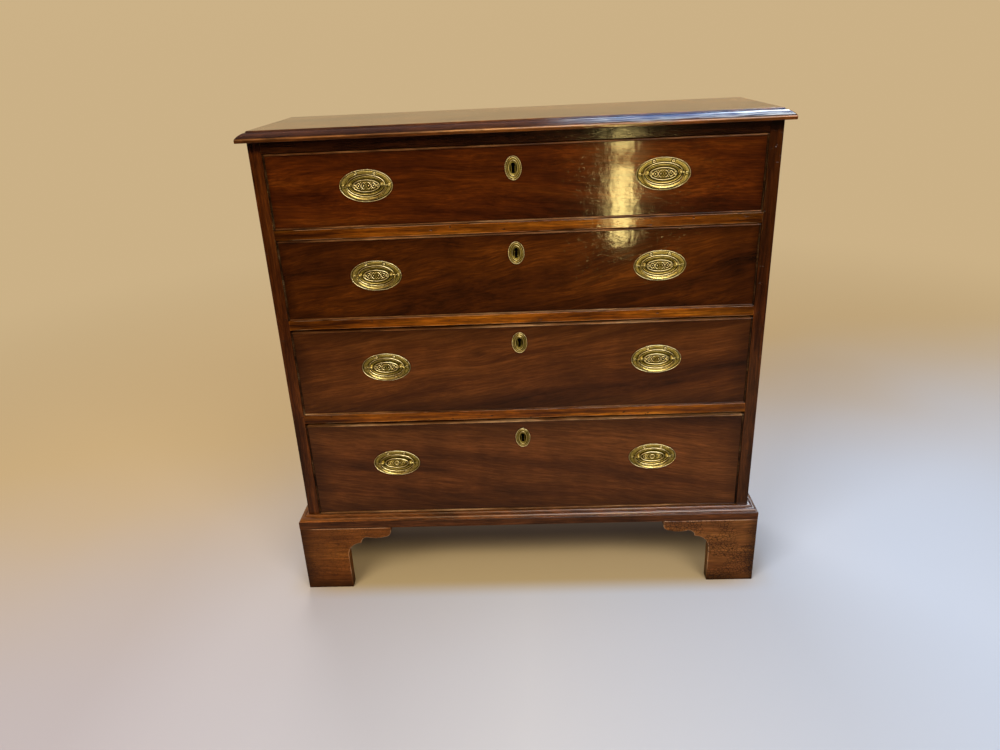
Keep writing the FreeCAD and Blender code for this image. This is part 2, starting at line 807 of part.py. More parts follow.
def make_lock(number, keyhole):
    name = f"drawer_{number}"
    top = drawer_top(number)
    middle = f"({bolt_middle()})"
    case = box(
        f"{name}_lock_case",
        ("-lock_width / 2", "lock_width / 2"),
        (f"{FRONT} + front_board - lock_depth", f"{FRONT} + front_board"),
        (f"{top} - lock_height", top),
    )
    half_width = "(bolt_width / 2 + bolt_play)"
    half_depth = "(bolt_depth / 2 + bolt_play)"
    chamber = box(
        f"{name}_lock_chamber",
        (f"-{half_width}", half_width),
        (f"{middle} - {half_depth}", f"{middle} + {half_depth}"),
        (f"{top} - bolt_sink - bolt_height - bolt_play", f"{top} + 1"),
    )
    node(cut(f"{name}_lock", case, chamber, keyhole))
    block = box(
        f"{name}_bolt_block",
        ("-bolt_width / 2", "bolt_width / 2"),
        (f"{middle} - bolt_depth / 2", f"{middle} + bolt_depth / 2"),
        (f"{top} - bolt_sink - bolt_height", f"{top} - bolt_sink"),
    )
    talon = box(
        f"{name}_bolt_talon",
        ("-talon_width / 2", "talon_width / 2"),
        (f"{middle} - bolt_depth", f"{middle} + bolt_depth"),
        (f"{top} - bolt_sink - bolt_height - 1", f"{top} - bolt_sink - bolt_height + talon_height"),
    )
    node(cut(f"{name}_lock_bolt", block, talon))


def make_escutcheon(number, keyhole):
    name = f"drawer_{number}_escutcheon"
    body = doc.addObject("PartDesign::Body", f"{name}_plate")
    oval = ("escutcheon_width", "escutcheon_height")
    # The oval is drawn lying down and stood up by the body's placement.
    blank = draw_oval(sketch_on(body, "XZ_Plane", f"{name}_oval"), oval[1], oval[0], "escutcheon_round")
    pad(body, blank, "escutcheon_board")
    rim = sketch_on(body, "XZ_Plane", f"{name}_rim")
    draw_oval(rim, oval[1], oval[0], "escutcheon_round")
    draw_oval(rim, oval[1], oval[0], "escutcheon_round", "escutcheon_rim")
    pad(body, rim, "escutcheon_rim_out")
    eye = sketch_on(body, "XZ_Plane", f"{name}_eye")
    draw_oval(eye, "escutcheon_eye_height", "escutcheon_eye_width", "escutcheon_eye_round")
    pad(body, eye, "escutcheon_rim_out")
    centre = f"{drawer_top(number)} - keyhole_{number}_drop"
    place(body, "0", FRONT, centre, Rotation(Vector(0, 1, 0), 90))
    node(cut(name, body, keyhole))


# ---- handles ----

def make_plates(number, level):
    name = f"drawer_{number}_plate"
    body = doc.addObject("PartDesign::Body", f"{name}_left")
    plate = ("plate_width", "plate_height", "plate_round")
    ring = ("plate_ring_width", "plate_ring_height", "plate_ring_round")
    pad(body, draw_oval(sketch_on(body, "XZ_Plane", f"{name}_oval"), *plate), "plate_board")
    rim = sketch_on(body, "XZ_Plane", f"{name}_rim")
    draw_oval(rim, *plate)
    draw_oval(rim, *plate, "plate_rim")
    pad(body, rim, "plate_rim_out")
    hoop = sketch_on(body, "XZ_Plane", f"{name}_ring")
    draw_oval(hoop, *ring)
    draw_oval(hoop, *ring, "plate_ring")
    pad(body, hoop, "plate_ring_out")
    boss = sketch_on(body, "XZ_Plane", f"{name}_boss")
    pad(body, draw_oval(boss, "boss_width", "boss_height", "boss_round"), "boss_out")
    holes = sketch_on(body, "XZ_Plane", f"{name}_holes")
    for side in ("-", ""):
        draw_circle(holes, f"{side}post_spacing / 2", "pivot_lift", "post_hole")
    pocket_through(body, holes)
    place(body, "-handle_spacing / 2", FRONT, level)
    node(group(f"drawer_{number}_handle_plates", body, mirror(f"{name}_right", body)))


def make_posts(number, level):
    """Turned posts through the front, each drilled for the bail's pin and held by a square nut behind."""
    name = f"drawer_{number}_post"
    body = doc.addObject("PartDesign::Body", f"{name}_turned")
    ball_start = "pivot_out - sqrt(post_ball ^ 2 - post_neck ^ 2)"
    profile = [
        ("0", "post_tail"),
        ("0", "-pivot_out - post_ball"),
        ("post_neck", f"-({ball_start})"),
        ("post_neck", "-post_collar_out"),
        ("post_collar", "-post_collar_out"),
        ("post_collar", "-plate_board"),
        ("post_radius", "-plate_board"),
        ("post_radius", "post_tail"),
    ]
    sketch = draw(sketch_on(body, "XY_Plane", f"{name}_profile"), profile, {1: ("post_ball", 1)})
    turned = body.newObject("PartDesign::Revolution", f"{name}_revolved")
    turned.Profile = sketch
    turned.ReferenceAxis = (sketch, ["V_Axis"])
    turned.Angle = 360
    doc.recompute()
    drill = sketch_on(body, "YZ_Plane", f"{name}_pivot_hole")
    draw_circle(drill, "-pivot_out", "0", "pivot_hole")
    pocket_through(body, drill)
    middle = "-handle_spacing / 2"
    place(body, f"{middle} - post_spacing / 2", FRONT, level)
    half = "nut_width / 2"
    behind = f"{FRONT} + front_board"
    blank = box(
        f"{name}_nut_blank",
        (f"{middle} - post_spacing / 2 - {half}", f"{middle} - post_spacing / 2 + {half}"),
        (behind, f"{behind} + nut_height"),
        (f"{level} - {half}", f"{level} + {half}"),
    )
    thread = rod(
        f"{name}_thread", "post_radius + 0.05", "nut_height + 2",
        f"{middle} - post_spacing / 2", f"{behind} - 1", level, LIE_ALONG_Y)
    nut = cut(f"{name}_nut", blank, thread)
    pieces = [body, nut]
    pieces += [mirror(f"{piece.Name}_inner", piece, at_x=middle) for piece in pieces]
    pieces += [mirror(f"{piece.Name}_right", piece) for piece in pieces]
    node(group(f"drawer_{number}_handle_posts", *pieces))


def make_post_holes(number, level):
    holes = []
    for handle in ("-", ""):
        for side in ("-", "+"):
            x = f"{handle}handle_spacing / 2 {side} post_spacing / 2"
            holes.append(rod(
                f"post_hole_{number}_{len(holes)}", "post_hole", "front_board + 2",
                x, f"{FRONT} - 1", level, LIE_ALONG_Y))
    return holes


def make_bails(number, level):
    """A hanging bail: elbows, small end arcs and one long low arc, with a pin turned in at each end."""
    name = f"drawer_{number}_bail"
    body = doc.addObject("PartDesign::Body", f"{name}_wire")
    a, b, r = "(bail_width / 2)", "(bail_drop - bail_elbow)", "bail_round"
    flat = f"(({a} ^ 2 + {b} ^ 2 - 2 * {a} * {r}) / (2 * ({b} - {r})))"
    x = f"({a} - {r}) * {flat} / ({flat} - {r})"
    y = f"-bail_elbow - {r} * ({flat} - {b}) / ({flat} - {r})"
    route = [
        (f"bail_elbow - {a}", "0"),
        (f"-{a}", "-bail_elbow"),
        (f"-({x})", y),
        (x, y),
        (a, "-bail_elbow"),
        (f"{a} - bail_elbow", "0"),
    ]
    arcs = {0: ("bail_elbow", 1), 1: (r, 1), 2: (flat, 1), 3: (r, 1), 4: ("bail_elbow", 1)}
    path = draw(sketch_on(body, "XZ_Plane", f"{name}_path"), route, arcs, closed=False)
    ring = sketch_on(body, "YZ_Plane", f"{name}_ring")
    ring.setExpression("AttachmentOffset.Base.z", bound(f"bail_elbow - {a}"))
    draw_circle(ring, "0", "0", "bail_wire")
    pipe = body.newObject("PartDesign::AdditivePipe", f"{name}_pipe")
    pipe.Profile = ring
    pipe.Spine = path
    middle = "-handle_spacing / 2"
    pivot_y = f"{FRONT} - pivot_out"
    place(body, middle, pivot_y, level)
    pin = rod(
        f"{name}_pin", "pin_radius", "pin_length",
        f"{middle} - {a} + bail_elbow - 1", pivot_y, level, LIE_ALONG_X)
    other_pin = mirror(f"{name}_pin_inner", pin, at_x=middle)
    left = node(fuse(f"drawer_{number}_bail_left", body, pin, other_pin))
    node(mirror(f"drawer_{number}_bail_right", left))


def make_drawer(number):
    level = f"{drawer_top(number)} - handle_{number}_drop"
    pivot_level = f"{level} + pivot_lift"
    keyhole = make_keyhole(number)
    make_drawer_wood(number, keyhole, make_post_holes(number, pivot_level))
    make_cockbead(number)
    make_lock(number, keyhole)
    make_escutcheon(number, keyhole)
    make_plates(number, level)
    make_posts(number, pivot_level)
    make_bails(number, pivot_level)


def check_and_export():
    doc.recompute()
    for thing in doc.Objects:
        if "Invalid" in thing.State or "Error" in thing.State:
            raise RuntimeError(f"{thing.Name} is {thing.State}")
    for name, thing in nodes.items():
        if thing.Shape.isNull() or not thing.Shape.isValid():
            raise RuntimeError(f"{name} has no valid shape")
    os.makedirs("parts", exist_ok=True)
    for name, thing in nodes.items():
        thing.Shape.exportStep(f"parts/{name}.step")
        print(f"{name}: {len(thing.Shape.Solids)} solids, {thing.Shape.Volume / 1000:.1f} cm3")
    whole = FreeCAD.BoundBox()
    for thing in nodes.values():
        whole.add(thing.Shape.BoundBox)
    print(len(nodes), "nodes", whole)


make_top()
make_carcase()
make_base()
make_feet()
for drawer in DRAWERS:
    make_drawer(drawer)
check_and_export()
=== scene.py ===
import json
import math

import bmesh
import bpy
import numpy as np
from mathutils import Matrix, Vector


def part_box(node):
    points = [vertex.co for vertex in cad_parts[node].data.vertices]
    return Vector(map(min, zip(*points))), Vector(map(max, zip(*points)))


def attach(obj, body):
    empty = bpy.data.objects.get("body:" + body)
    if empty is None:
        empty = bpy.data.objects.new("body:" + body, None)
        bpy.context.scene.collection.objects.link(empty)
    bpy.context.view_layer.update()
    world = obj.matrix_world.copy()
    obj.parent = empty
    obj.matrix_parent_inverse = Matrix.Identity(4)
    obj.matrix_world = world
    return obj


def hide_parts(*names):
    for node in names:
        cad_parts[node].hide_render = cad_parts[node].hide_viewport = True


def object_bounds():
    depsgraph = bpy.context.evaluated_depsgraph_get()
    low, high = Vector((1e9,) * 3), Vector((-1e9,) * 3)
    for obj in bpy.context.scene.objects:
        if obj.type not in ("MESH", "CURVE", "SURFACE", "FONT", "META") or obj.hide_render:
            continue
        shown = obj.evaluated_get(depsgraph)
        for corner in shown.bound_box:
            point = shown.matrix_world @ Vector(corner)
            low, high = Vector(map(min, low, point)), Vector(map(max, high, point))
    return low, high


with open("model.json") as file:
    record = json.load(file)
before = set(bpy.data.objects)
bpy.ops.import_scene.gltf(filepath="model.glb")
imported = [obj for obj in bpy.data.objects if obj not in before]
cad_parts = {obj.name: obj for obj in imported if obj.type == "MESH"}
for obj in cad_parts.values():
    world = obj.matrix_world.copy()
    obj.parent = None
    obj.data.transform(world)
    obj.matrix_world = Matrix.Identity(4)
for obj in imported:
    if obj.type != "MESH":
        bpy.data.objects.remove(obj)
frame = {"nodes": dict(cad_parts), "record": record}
CAD_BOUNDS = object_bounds()

MM = 0.001
FRONT = -128.5 * MM          # the front plane of the case
DRAWERS = (1, 2, 3, 4)
SIDES = {"left": -1, "right": 1}
HANDLE_X = 248.5 * MM        # a handle's middle, from the chest's middle
PIVOT_OUT = 5.6              # mm in front of the case
PIVOT_LIFT = 2.0             # mm over the plate's middle
BACK_BOARDS = (-0.4283, 0.17132)   # the first edge and the pitch of the back's boards, in metres
BACK_BOARD_COUNT = 5


# ---- materials ----

class Shader:
    """The nodes of a material or a world, made by calls that return sockets."""

    def __init__(self, holder):
        self.holder = holder
        holder.use_nodes = True
        self.tree = holder.node_tree
        self.tree.nodes.clear()

    def node(self, kind, inputs=(), **settings):
        made = self.tree.nodes.new(f"ShaderNode{kind}")
        for key, setting in settings.items():
            setattr(made, key, setting)
        for key, source in dict(inputs).items():
            if isinstance(source, bpy.types.NodeSocket):
                self.tree.links.new(source, made.inputs[key])
            else:
                made.inputs[key].default_value = source
        return made

    def math(self, operation, *values):
        return self.node("Math", enumerate(values), operation=operation).outputs[0]

    def times(self, a, b):
        return self.math("MULTIPLY", a, b)

    def plus(self, a, b):
        return self.math("ADD", a, b)

    def minus(self, a, b):
        return self.math("SUBTRACT", a, b)

    def vector(self, operation, *values):
        made = self.node("VectorMath", enumerate(values), operation=operation)
        return made.outputs["Value" if operation in ("DOT_PRODUCT", "LENGTH") else "Vector"]

    def noise(self, coords, stretch, detail=2.0, roughness=0.5, distortion=0.0, output="Fac"):
        """Noise with its own number of cells per metre along each axis."""
        scaled = self.vector("MULTIPLY", coords, stretch)
        settings = {"Vector": scaled, "Scale": 1.0, "Detail": detail, "Roughness": roughness,
                    "Distortion": distortion}
        return self.node("TexNoise", settings).outputs[output]

    def remap(self, value, low, high, to_low=0.0, to_high=1.0):
        settings = {0: value, 1: low, 2: high, 3: to_low, 4: to_high}
        return self.node("MapRange", settings, interpolation_type="SMOOTHSTEP").outputs[0]

    def ramp(self, factor, stops):
        made = self.node("ValToRGB", {0: factor})
        elements = made.color_ramp.elements
        while len(elements) < len(stops):
            elements.new(0.5)
        for element, (place, colour) in zip(elements, stops):
            element.position = place
            element.color = (*colour, 1)
        return made.outputs[0]

    def mix(self, factor, a, b, blend="MIX"):
        """Colours are given as three numbers or a socket."""
        full = [(*c, 1) if isinstance(c, tuple) else c for c in (a, b)]
        made = self.node("Mix", {0: factor, 6: full[0], 7: full[1]}, data_type="RGBA", blend_type=blend)
        return made.outputs[2]

    def scale(self, colour, value):
        """A colour multiplied by one number."""
        return self.node("VectorMath", {0: colour, 3: value}, operation="SCALE").outputs["Vector"]

    def bump(self, height):
        """A bump from a height in metres."""
        return self.node("Bump", {"Strength": 1.0, "Distance": 1.0, "Height": height}).outputs[0]

    def surface(self, **inputs):
        named = {key.replace("_", " "): value for key, value in inputs.items()}
        made = self.node("BsdfPrincipled", named)
        self.node("OutputMaterial", {"Surface": made.outputs[0]})
        return self.holder


KNOT_STRETCH = 0.6            # under 1, a knot is longer along the grain than across it
KNOT_PULL = 0.6               # how far the grain bends round a knot


def grain_frame(shader, along, across, depth, seed, shear=0.0, knots=()):
    """Object coordinates turned so that x runs along the grain, in metres, and how near a knot is.

    knots are (place along, place across, size) in metres. shear tilts the grain.
    """
    place = shader.node("TexCoord").outputs["Object"]
    parts = [shader.vector("DOT_PRODUCT", place, axis) for axis in (along, across, depth)]
    near_any = None
    for knot_along, knot_across, size in knots:
        side = shader.minus(parts[1], knot_across)
        ahead = shader.times(shader.minus(parts[0], knot_along), KNOT_STRETCH)
        reach = shader.node("CombineXYZ", {0: ahead, 1: side, 2: 0.0}).outputs[0]
        far = shader.math("DIVIDE", shader.vector("LENGTH", reach), size)
        near = shader.math("POWER", math.e, shader.times(shader.times(far, far), -1.0))
        parts[1] = shader.minus(parts[1], shader.times(shader.times(side, near), KNOT_PULL))
        spot = shader.math("POWER", near, 6.0)
        near_any = spot if near_any is None else shader.math("MAXIMUM", near_any, spot)
    if shear:
        parts[1] = shader.plus(parts[1], shader.times(parts[0], shear))
    turned = shader.node("CombineXYZ", enumerate(parts)).outputs[0]
    return shader.vector("ADD", turned, (seed * 3.17, seed * 1.73, seed * 0.61)), place, near_any


def edge_distance(shader, place, low, high, flat_axis):
    """The distance to the nearest side of a panel, in metres, over its two long axes."""
    parts = shader.node("SeparateXYZ", {0: place}).outputs
    least = None
    for axis in range(3):
        if axis == flat_axis:
            continue
        middle, half = (low[axis] + high[axis]) / 2, (high[axis] - low[axis]) / 2
        offset = shader.math("ABSOLUTE", shader.minus(parts[axis], middle))
        inside = shader.minus(half, offset)
        least = inside if least is None else shader.math("MINIMUM", least, inside)
    return least


X, Y, Z = (1, 0, 0), (0, 1, 0), (0, 0, 1)
XY = (1, 1, 0)                # along a board that turns the corner at a mitre
ACROSS_XY = (1, -1, 0)
FLAT = (0, 0, 0)              # no grain of its own in depth
MIDDLE_TONE = 0.51            # where the figure's noise has its middle
BAND_BLEND = 0.0008           # the height over which a band of colour fades in and out
BARE_WOOD = (0.44, 0.32, 0.19)    # where the polish has been rubbed off an arris
POLISH = 1.5                  # the polish's index of refraction
WORN_POLISH = 1.2             # a flat top that has been wiped for years mirrors less from above
WORN_COAT = 0.94              # and about as much as ever at a low angle
# Depths in metres.
PLANE_MARKS = 0.0004
PORE_DEPTH = 0.000012
SPECK_DEPTH = 0.00025
STREAK_HEIGHT = 0.00003
CRACK_DEPTH = 0.0001


def drifted(shader, grain, cells, amounts):
    """The grain's coordinates, bent by a slow noise with so many cells per metre."""
    drift = shader.vector("SUBTRACT", shader.noise(grain, cells, 2, output="Color"), (0.5, 0.5, 0.5))
    return shader.vector("ADD", grain, shader.vector("MULTIPLY", drift, amounts))


def figured(shader, bent, tones, figure, spread):
    """The colour of the wood's broad figure."""
    flame = shader.noise(bent, figure, 5, 0.6, 0.35)
    broad = shader.noise(bent, (1.3, 5.0, 5.0), 2)
    flame = shader.plus(flame, shader.times(shader.minus(broad, 0.5), 0.5))
    places = np.linspace(MIDDLE_TONE - spread / 2, MIDDLE_TONE + spread / 2, len(tones))
    return shader.ramp(flame, list(zip(places, tones)))


def fibres(shader, bent, streak, pore, contrast):
    """How bright the wood is, from its streaks down to its pores."""
    dash = shader.noise(bent, (30.0, 430.0, 430.0), 2, 0.6)
    fibre = shader.noise(bent, (90.0, 1500.0, 1500.0), 1, 0.6)
    mottle = shader.noise(bent, (24.0, 6.0, 6.0), 2)
    value = shader.remap(streak, 0.3, 0.7, 0.62, 1.26)
    for layer, low, high in ((dash, 0.62, 1.32), (fibre, 0.84, 1.12), (mottle, 0.86, 1.12)):
        value = shader.times(value, shader.remap(layer, 0.3, 0.7, low, high))
    value = shader.times(value, shader.minus(1.0, shader.times(pore, 0.5)))
    return shader.plus(1.0 - contrast, shader.times(value, contrast))


def banded(shader, colour, height_up, bands):
    """A colour that is multiplied by another in each band of height."""
    for low, high, band, *blend in bands:
        blend = blend[0] if blend else BAND_BLEND
        inside = shader.times(shader.remap(height_up, low, low + blend),
                              shader.remap(height_up, high - blend, high, 1.0, 0.0))
        colour = shader.mix(inside, colour, shader.mix(1.0, colour, band, "MULTIPLY"))
    return colour


def rippled(shader, grain, ripple):
    """The relief of hand-planed, polished wood, in metres."""
    wave = shader.times(shader.noise(grain, (12.0, 26.0, 26.0), 2, 0.4), 0.00022 * ripple)
    cobble = shader.times(shader.noise(grain, (80.0, 55.0, 55.0), 1), 0.00007 * ripple)
    strand = shader.times(shader.noise(grain, (42.0, 20.0, 20.0), 2, 0.5), 0.0001 * ripple)
    fine = shader.times(shader.noise(grain, (200.0, 420.0, 420.0), 3, 0.7), 0.000022 * ripple)
    return shader.plus(shader.plus(wave, cobble), shader.plus(strand, fine))


def cracks(shader, place, bent):
    """A patchy net of fine cracks, from 0 to 1."""
    cells = shader.vector("MULTIPLY", bent, (150.0, 210.0, 210.0))
    net = shader.node("TexVoronoi", {"Vector": cells, "Scale": 1.0, "Randomness": 1.0},
                      feature="DISTANCE_TO_EDGE").outputs["Distance"]
    patches = shader.remap(shader.noise(place, (24.0, 24.0, 24.0), 2), 0.36, 0.52)
    return shader.times(shader.remap(net, 0.0, 0.12, 1.0, 0.0), patches)


def mahogany(name, tones, along=X, across=Z, depth=Y, seed=0.0, shear=0.0, figure=(3.0, 26.0, 26.0),
             warp=0.05, panel=None, edge_darkening=0.5, gloss=0.09, coat=0.5, ripple=1.0, craze=0.0, specks=0.0,
             knots=(), bands=(), keyhole_shade_at=None, spread=0.46, contrast=1.0, wear=1.3, pale=0.0, fade=0.018,
             planed=None, shaded_ends=None):
    """Polished, figured mahogany. tones run from the dark streaks to the pale ones.

    figure is the number of noise cells per metre along each axis of the grain, and spread how much of the
    noise the tones share. panel is (low corner, high corner, axis without an edge): edge_darkening darkens
    the wood within fade of its edges. bands are (low, high, colour) heights whose wood is multiplied by a
    colour, and after the colour may come the height over which the band fades in and out. keyhole_shade_at
    is the height of a keyhole, where the wood is painted dark as the shade inside it. wear brightens the
    rubbed arrises, and pale mixes bare wood into them. Under the height planed there are long marks of a
    moulding plane, and over it the polish is worn. Further out than shaded_ends, in X, the wood is painted
    dark as shade. All lengths are in metres.
    """
    shader = Shader(bpy.data.materials.new(name))
    grain, place, near_knot = grain_frame(shader, along, across, depth, seed, shear, knots)
    sideways, _, height_up = shader.node("SeparateXYZ", {0: place}).outputs
    bent = drifted(shader, grain, (2.6, 7.0, 7.0), (warp * 1.6, warp, warp))
    colour = banded(shader, figured(shader, bent, tones, figure, spread), height_up, bands)
    streak = shader.noise(bent, (7.0, 190.0, 190.0), 4, 0.65)
    pore = shader.remap(shader.noise(grain, (110.0, 1500.0, 1500.0), 1), 0.66, 0.76)
    value = fibres(shader, bent, streak, pore, contrast)
    stain = shader.noise(place, (9.0, 9.0, 9.0), 4, 0.6)
    value = shader.times(value, shader.remap(stain, 0.35, 0.7, 1.08, 0.84))
    if panel:
        edge = edge_distance(shader, place, *panel)
        edge = shader.plus(edge, shader.times(shader.minus(stain, 0.5), 0.04))
        value = shader.times(value, shader.remap(edge, -0.004, fade, 1.0 - edge_darkening, 1.0))
    if near_knot is not None:
        value = shader.times(value, shader.minus(1.0, shader.times(near_knot, 0.5)))
    # Painted shade: the wood seen through the keyhole is darkened, as the inside of a keyhole is shaded.
    if keyhole_shade_at is not None:
        away = shader.vector("SUBTRACT", place, (0.0, 0.0, keyhole_shade_at))
        away = shader.vector("LENGTH", shader.vector("MULTIPLY", away, (1.0, 0.0, 0.6)))
        value = shader.times(value, shader.remap(away, 0.0075, 0.01, 0.06, 1.0))
    # Painted shade: beyond the given distance in X the wood is darkened.
    if shaded_ends:
        aside = shader.math("ABSOLUTE", sideways)
        value = shader.times(value, shader.remap(aside, shaded_ends, shaded_ends + 0.001, 1.0, 0.25))
    # Rubbed arrises, on the faces that the easing made.
    worn = shader.node("Attribute", attribute_name="worn").outputs["Fac"]
    worn = shader.times(worn, shader.remap(shader.noise(place, (22.0, 22.0, 22.0), 3), 0.36, 0.56))
    value = shader.times(value, shader.plus(1.0, shader.times(worn, wear)))
    colour = shader.scale(colour, value)
    if pale:
        bare = shader.times(worn, pale)
        if panel:
            bare = shader.times(bare, shader.remap(edge, 0.008, 0.03))
        colour = shader.mix(bare, colour, BARE_WOOD)

    height = rippled(shader, grain, ripple)
    polish = POLISH
    if planed:
        marks = shader.times(shader.noise(place, (9.0, 9.0, 420.0), 2, 0.6), PLANE_MARKS)
        below = shader.remap(height_up, planed - 0.001, planed, 1.0, 0.0)
        height = shader.plus(height, shader.times(marks, below))
        polish = shader.remap(height_up, planed, planed + BAND_BLEND, POLISH, WORN_POLISH)
        coat = shader.remap(height_up, planed, planed + BAND_BLEND, coat, WORN_COAT)
    height = shader.plus(height, shader.times(pore, -PORE_DEPTH))
    if specks:
        pit = shader.remap(shader.noise(place, (75.0, 75.0, 160.0), 2, 0.4), 0.7, 0.76)
        colour = shader.scale(colour, shader.minus(1.0, shader.times(pit, specks)))
        height = shader.minus(height, shader.times(pit, SPECK_DEPTH))
    grainy = shader.plus(height, shader.times(streak, STREAK_HEIGHT))
    if craze:
        crack = cracks(shader, place, bent)
        colour = shader.scale(colour, shader.minus(1.0, shader.times(crack, craze)))
        grainy = height = shader.minus(grainy, shader.times(crack, CRACK_DEPTH))
    return shader.surface(
        Base_Color=colour, Roughness=shader.remap(stain, 0.3, 0.7, 0.36, 0.52),
        Specular_IOR_Level=0.02, Coat_Weight=coat, Coat_Roughness=gloss, Coat_IOR=polish,
        Normal=shader.bump(grainy), Coat_Normal=shader.bump(height))


def bare_wood(name, tones, along, across, depth, seed, sawn=False, boards=None):
    """Unpolished board, darkened by age. boards is the first edge and the pitch of boards side by side."""
    shader = Shader(bpy.data.materials.new(name))
    grain, place, _ = grain_frame(shader, along, across, depth, seed)
    if boards:
        first, pitch = boards
        sideways = shader.node("SeparateXYZ", {0: place}).outputs[0]
        index = shader.math("FLOOR", shader.math("DIVIDE", shader.minus(sideways, first), pitch))
        chance = shader.node("TexWhiteNoise", {"W": index}, noise_dimensions="1D").outputs
        shift = shader.vector("MULTIPLY", chance["Color"], (5.0, 5.0, 5.0))
        grain = shader.vector("ADD", grain, shift)
    bent = drifted(shader, grain, (2.0, 6.0, 6.0), (0.05, 0.03, 0.03))
    rings = shader.noise(bent, (1.6, 60.0, 60.0), 4, 0.55)
    fibre = shader.noise(bent, (22.0, 700.0, 700.0), 3, 0.6)
    dirt = shader.noise(place, (7.0, 7.0, 7.0), 5, 0.65)
    colour = shader.ramp(rings, list(zip(np.linspace(0.32, 0.68, len(tones)), tones)))
    value = shader.remap(fibre, 0.3, 0.7, 0.78, 1.16)
    value = shader.times(value, shader.remap(dirt, 0.35, 0.7, 1.08, 0.65))
    if boards:
        value = shader.times(value, shader.remap(chance["Value"], 0.0, 1.0, 0.78, 1.22))
        edge = shader.math("PINGPONG", shader.minus(sideways, first), pitch / 2)
        value = shader.times(value, shader.remap(edge, 0.0005, 0.003, 0.25, 1.0))
    height = shader.times(fibre, 0.00006)
    height = shader.plus(height, shader.times(rings, 0.0002))
    if sawn:
        wave = shader.node("TexWave", {"Vector": place, "Scale": 90.0, "Distortion": 2.0, "Detail": 1.0},
                           bands_direction="Z").outputs["Fac"]
        height = shader.plus(height, shader.times(wave, 0.00012))
        value = shader.times(value, shader.remap(wave, 0.1, 0.9, 0.94, 1.05))
    return shader.surface(
        Base_Color=shader.scale(colour, value), Roughness=shader.remap(dirt, 0.3, 0.7, 0.62, 0.86),
        Specular_IOR_Level=0.3, Normal=shader.bump(height))


PLAIN_RUB = 0.62              # how rubbed a metal piece without relief is, from 0 to 1
METAL_PITS = 0.00002


def metal(name, tones, smooth, patina=None, keyhole_shade=None):
    """Old metal: tones run from the hollows to what hands have rubbed, as the vertex attribute patina says.

    smooth is the roughness where it is rubbed. keyhole_shade is (half width, depth): round the middle and
    before that Y it is painted black, as the shade inside a keyhole.
    """
    shader = Shader(bpy.data.materials.new(name))
    place = shader.node("TexCoord").outputs["Object"]
    cloud = shader.noise(place, (260.0, 260.0, 260.0), 4, 0.65)
    large = shader.noise(place, (50.0, 50.0, 50.0), 3, 0.6)
    if patina:
        rubbed = shader.node("Attribute", attribute_name=patina).outputs["Fac"]
    else:
        rubbed = PLAIN_RUB
    for spots, share in ((cloud, 0.3), (large, 0.3)):
        rubbed = shader.plus(rubbed, shader.times(shader.minus(spots, 0.5), share))
    # Painted shade: round the middle, in front of the given depth, the iron is made black like the inside of
    # a keyhole.
    if keyhole_shade:
        parts = shader.node("SeparateXYZ", {0: place}).outputs
        half_width, depth = keyhole_shade
        aside = shader.math("ABSOLUTE", parts[0])
        clear = shader.math("MAXIMUM", shader.remap(aside, half_width, half_width + 0.002),
                            shader.remap(parts[1], depth, depth + 0.0002))
        rubbed = shader.times(rubbed, clear)
    colour = shader.ramp(rubbed, list(zip((0.08, 0.34, 0.62, 0.9), tones)))
    height = shader.times(shader.noise(place, (900.0, 900.0, 900.0), 2), METAL_PITS)
    rough = shader.remap(rubbed, 0.2, 0.9, smooth + 0.2, smooth)
    return shader.surface(Base_Color=colour, Metallic=1.0, Roughness=rough, Normal=shader.bump(height))


# Linear colours, from dark streaks to pale ones.
RED = ((0.014, 0.0028, 0.0004), (0.04, 0.0072, 0.0007), (0.07, 0.0135, 0.0011), (0.115, 0.026, 0.0022))
TAWNY = ((0.014, 0.0036, 0.0005), (0.038, 0.0082, 0.0008), (0.066, 0.015, 0.0012), (0.11, 0.028, 0.0024))
BROWN = ((0.02, 0.005, 0.0012), (0.054, 0.0135, 0.0024), (0.092, 0.025, 0.0042), (0.14, 0.042, 0.008))
FAWN = ((0.03, 0.008, 0.002), (0.072, 0.0195, 0.0042), (0.112, 0.033, 0.007), (0.155, 0.048, 0.011))
AMBER = ((0.045, 0.0095, 0.0007), (0.1, 0.0235, 0.0012), (0.16, 0.042, 0.002), (0.23, 0.07, 0.004))
STILE = ((0.012, 0.0026, 0.0005), (0.034, 0.0076, 0.0011), (0.06, 0.014, 0.0019), (0.09, 0.024, 0.0036))
# The frieze's own dark tones, made darker still by a painted shadow under the top's overhang.
FRIEZE_AND_SHADOW = ((0.004, 0.001, 0.0003), (0.01, 0.0024, 0.0005), (0.018, 0.0042, 0.0008), (0.034, 0.0085, 0.0014))
TOP = ((0.05, 0.017, 0.004), (0.105, 0.036, 0.008), (0.16, 0.057, 0.0125), (0.22, 0.085, 0.019))
BASE = ((0.022, 0.0065, 0.0018), (0.046, 0.013, 0.0032), (0.07, 0.0205, 0.005), (0.1, 0.031, 0.0075))
# Partly painted light: the beads' palest tones also stand for the highlight along them.
BEAD_AND_SHINE = ((0.022, 0.006, 0.0012), (0.07, 0.022, 0.0045), (0.17, 0.07, 0.021), (0.36, 0.2, 0.085))
FOOT = ((0.022, 0.006, 0.0012), (0.085, 0.023, 0.0034), (0.15, 0.045, 0.006), (0.23, 0.082, 0.011))
OAK = ((0.12, 0.064, 0.026), (0.2, 0.115, 0.052), (0.27, 0.165, 0.08), (0.33, 0.21, 0.11))
PINE = ((0.085, 0.042, 0.017), (0.165, 0.088, 0.038), (0.23, 0.13, 0.06), (0.29, 0.175, 0.085))

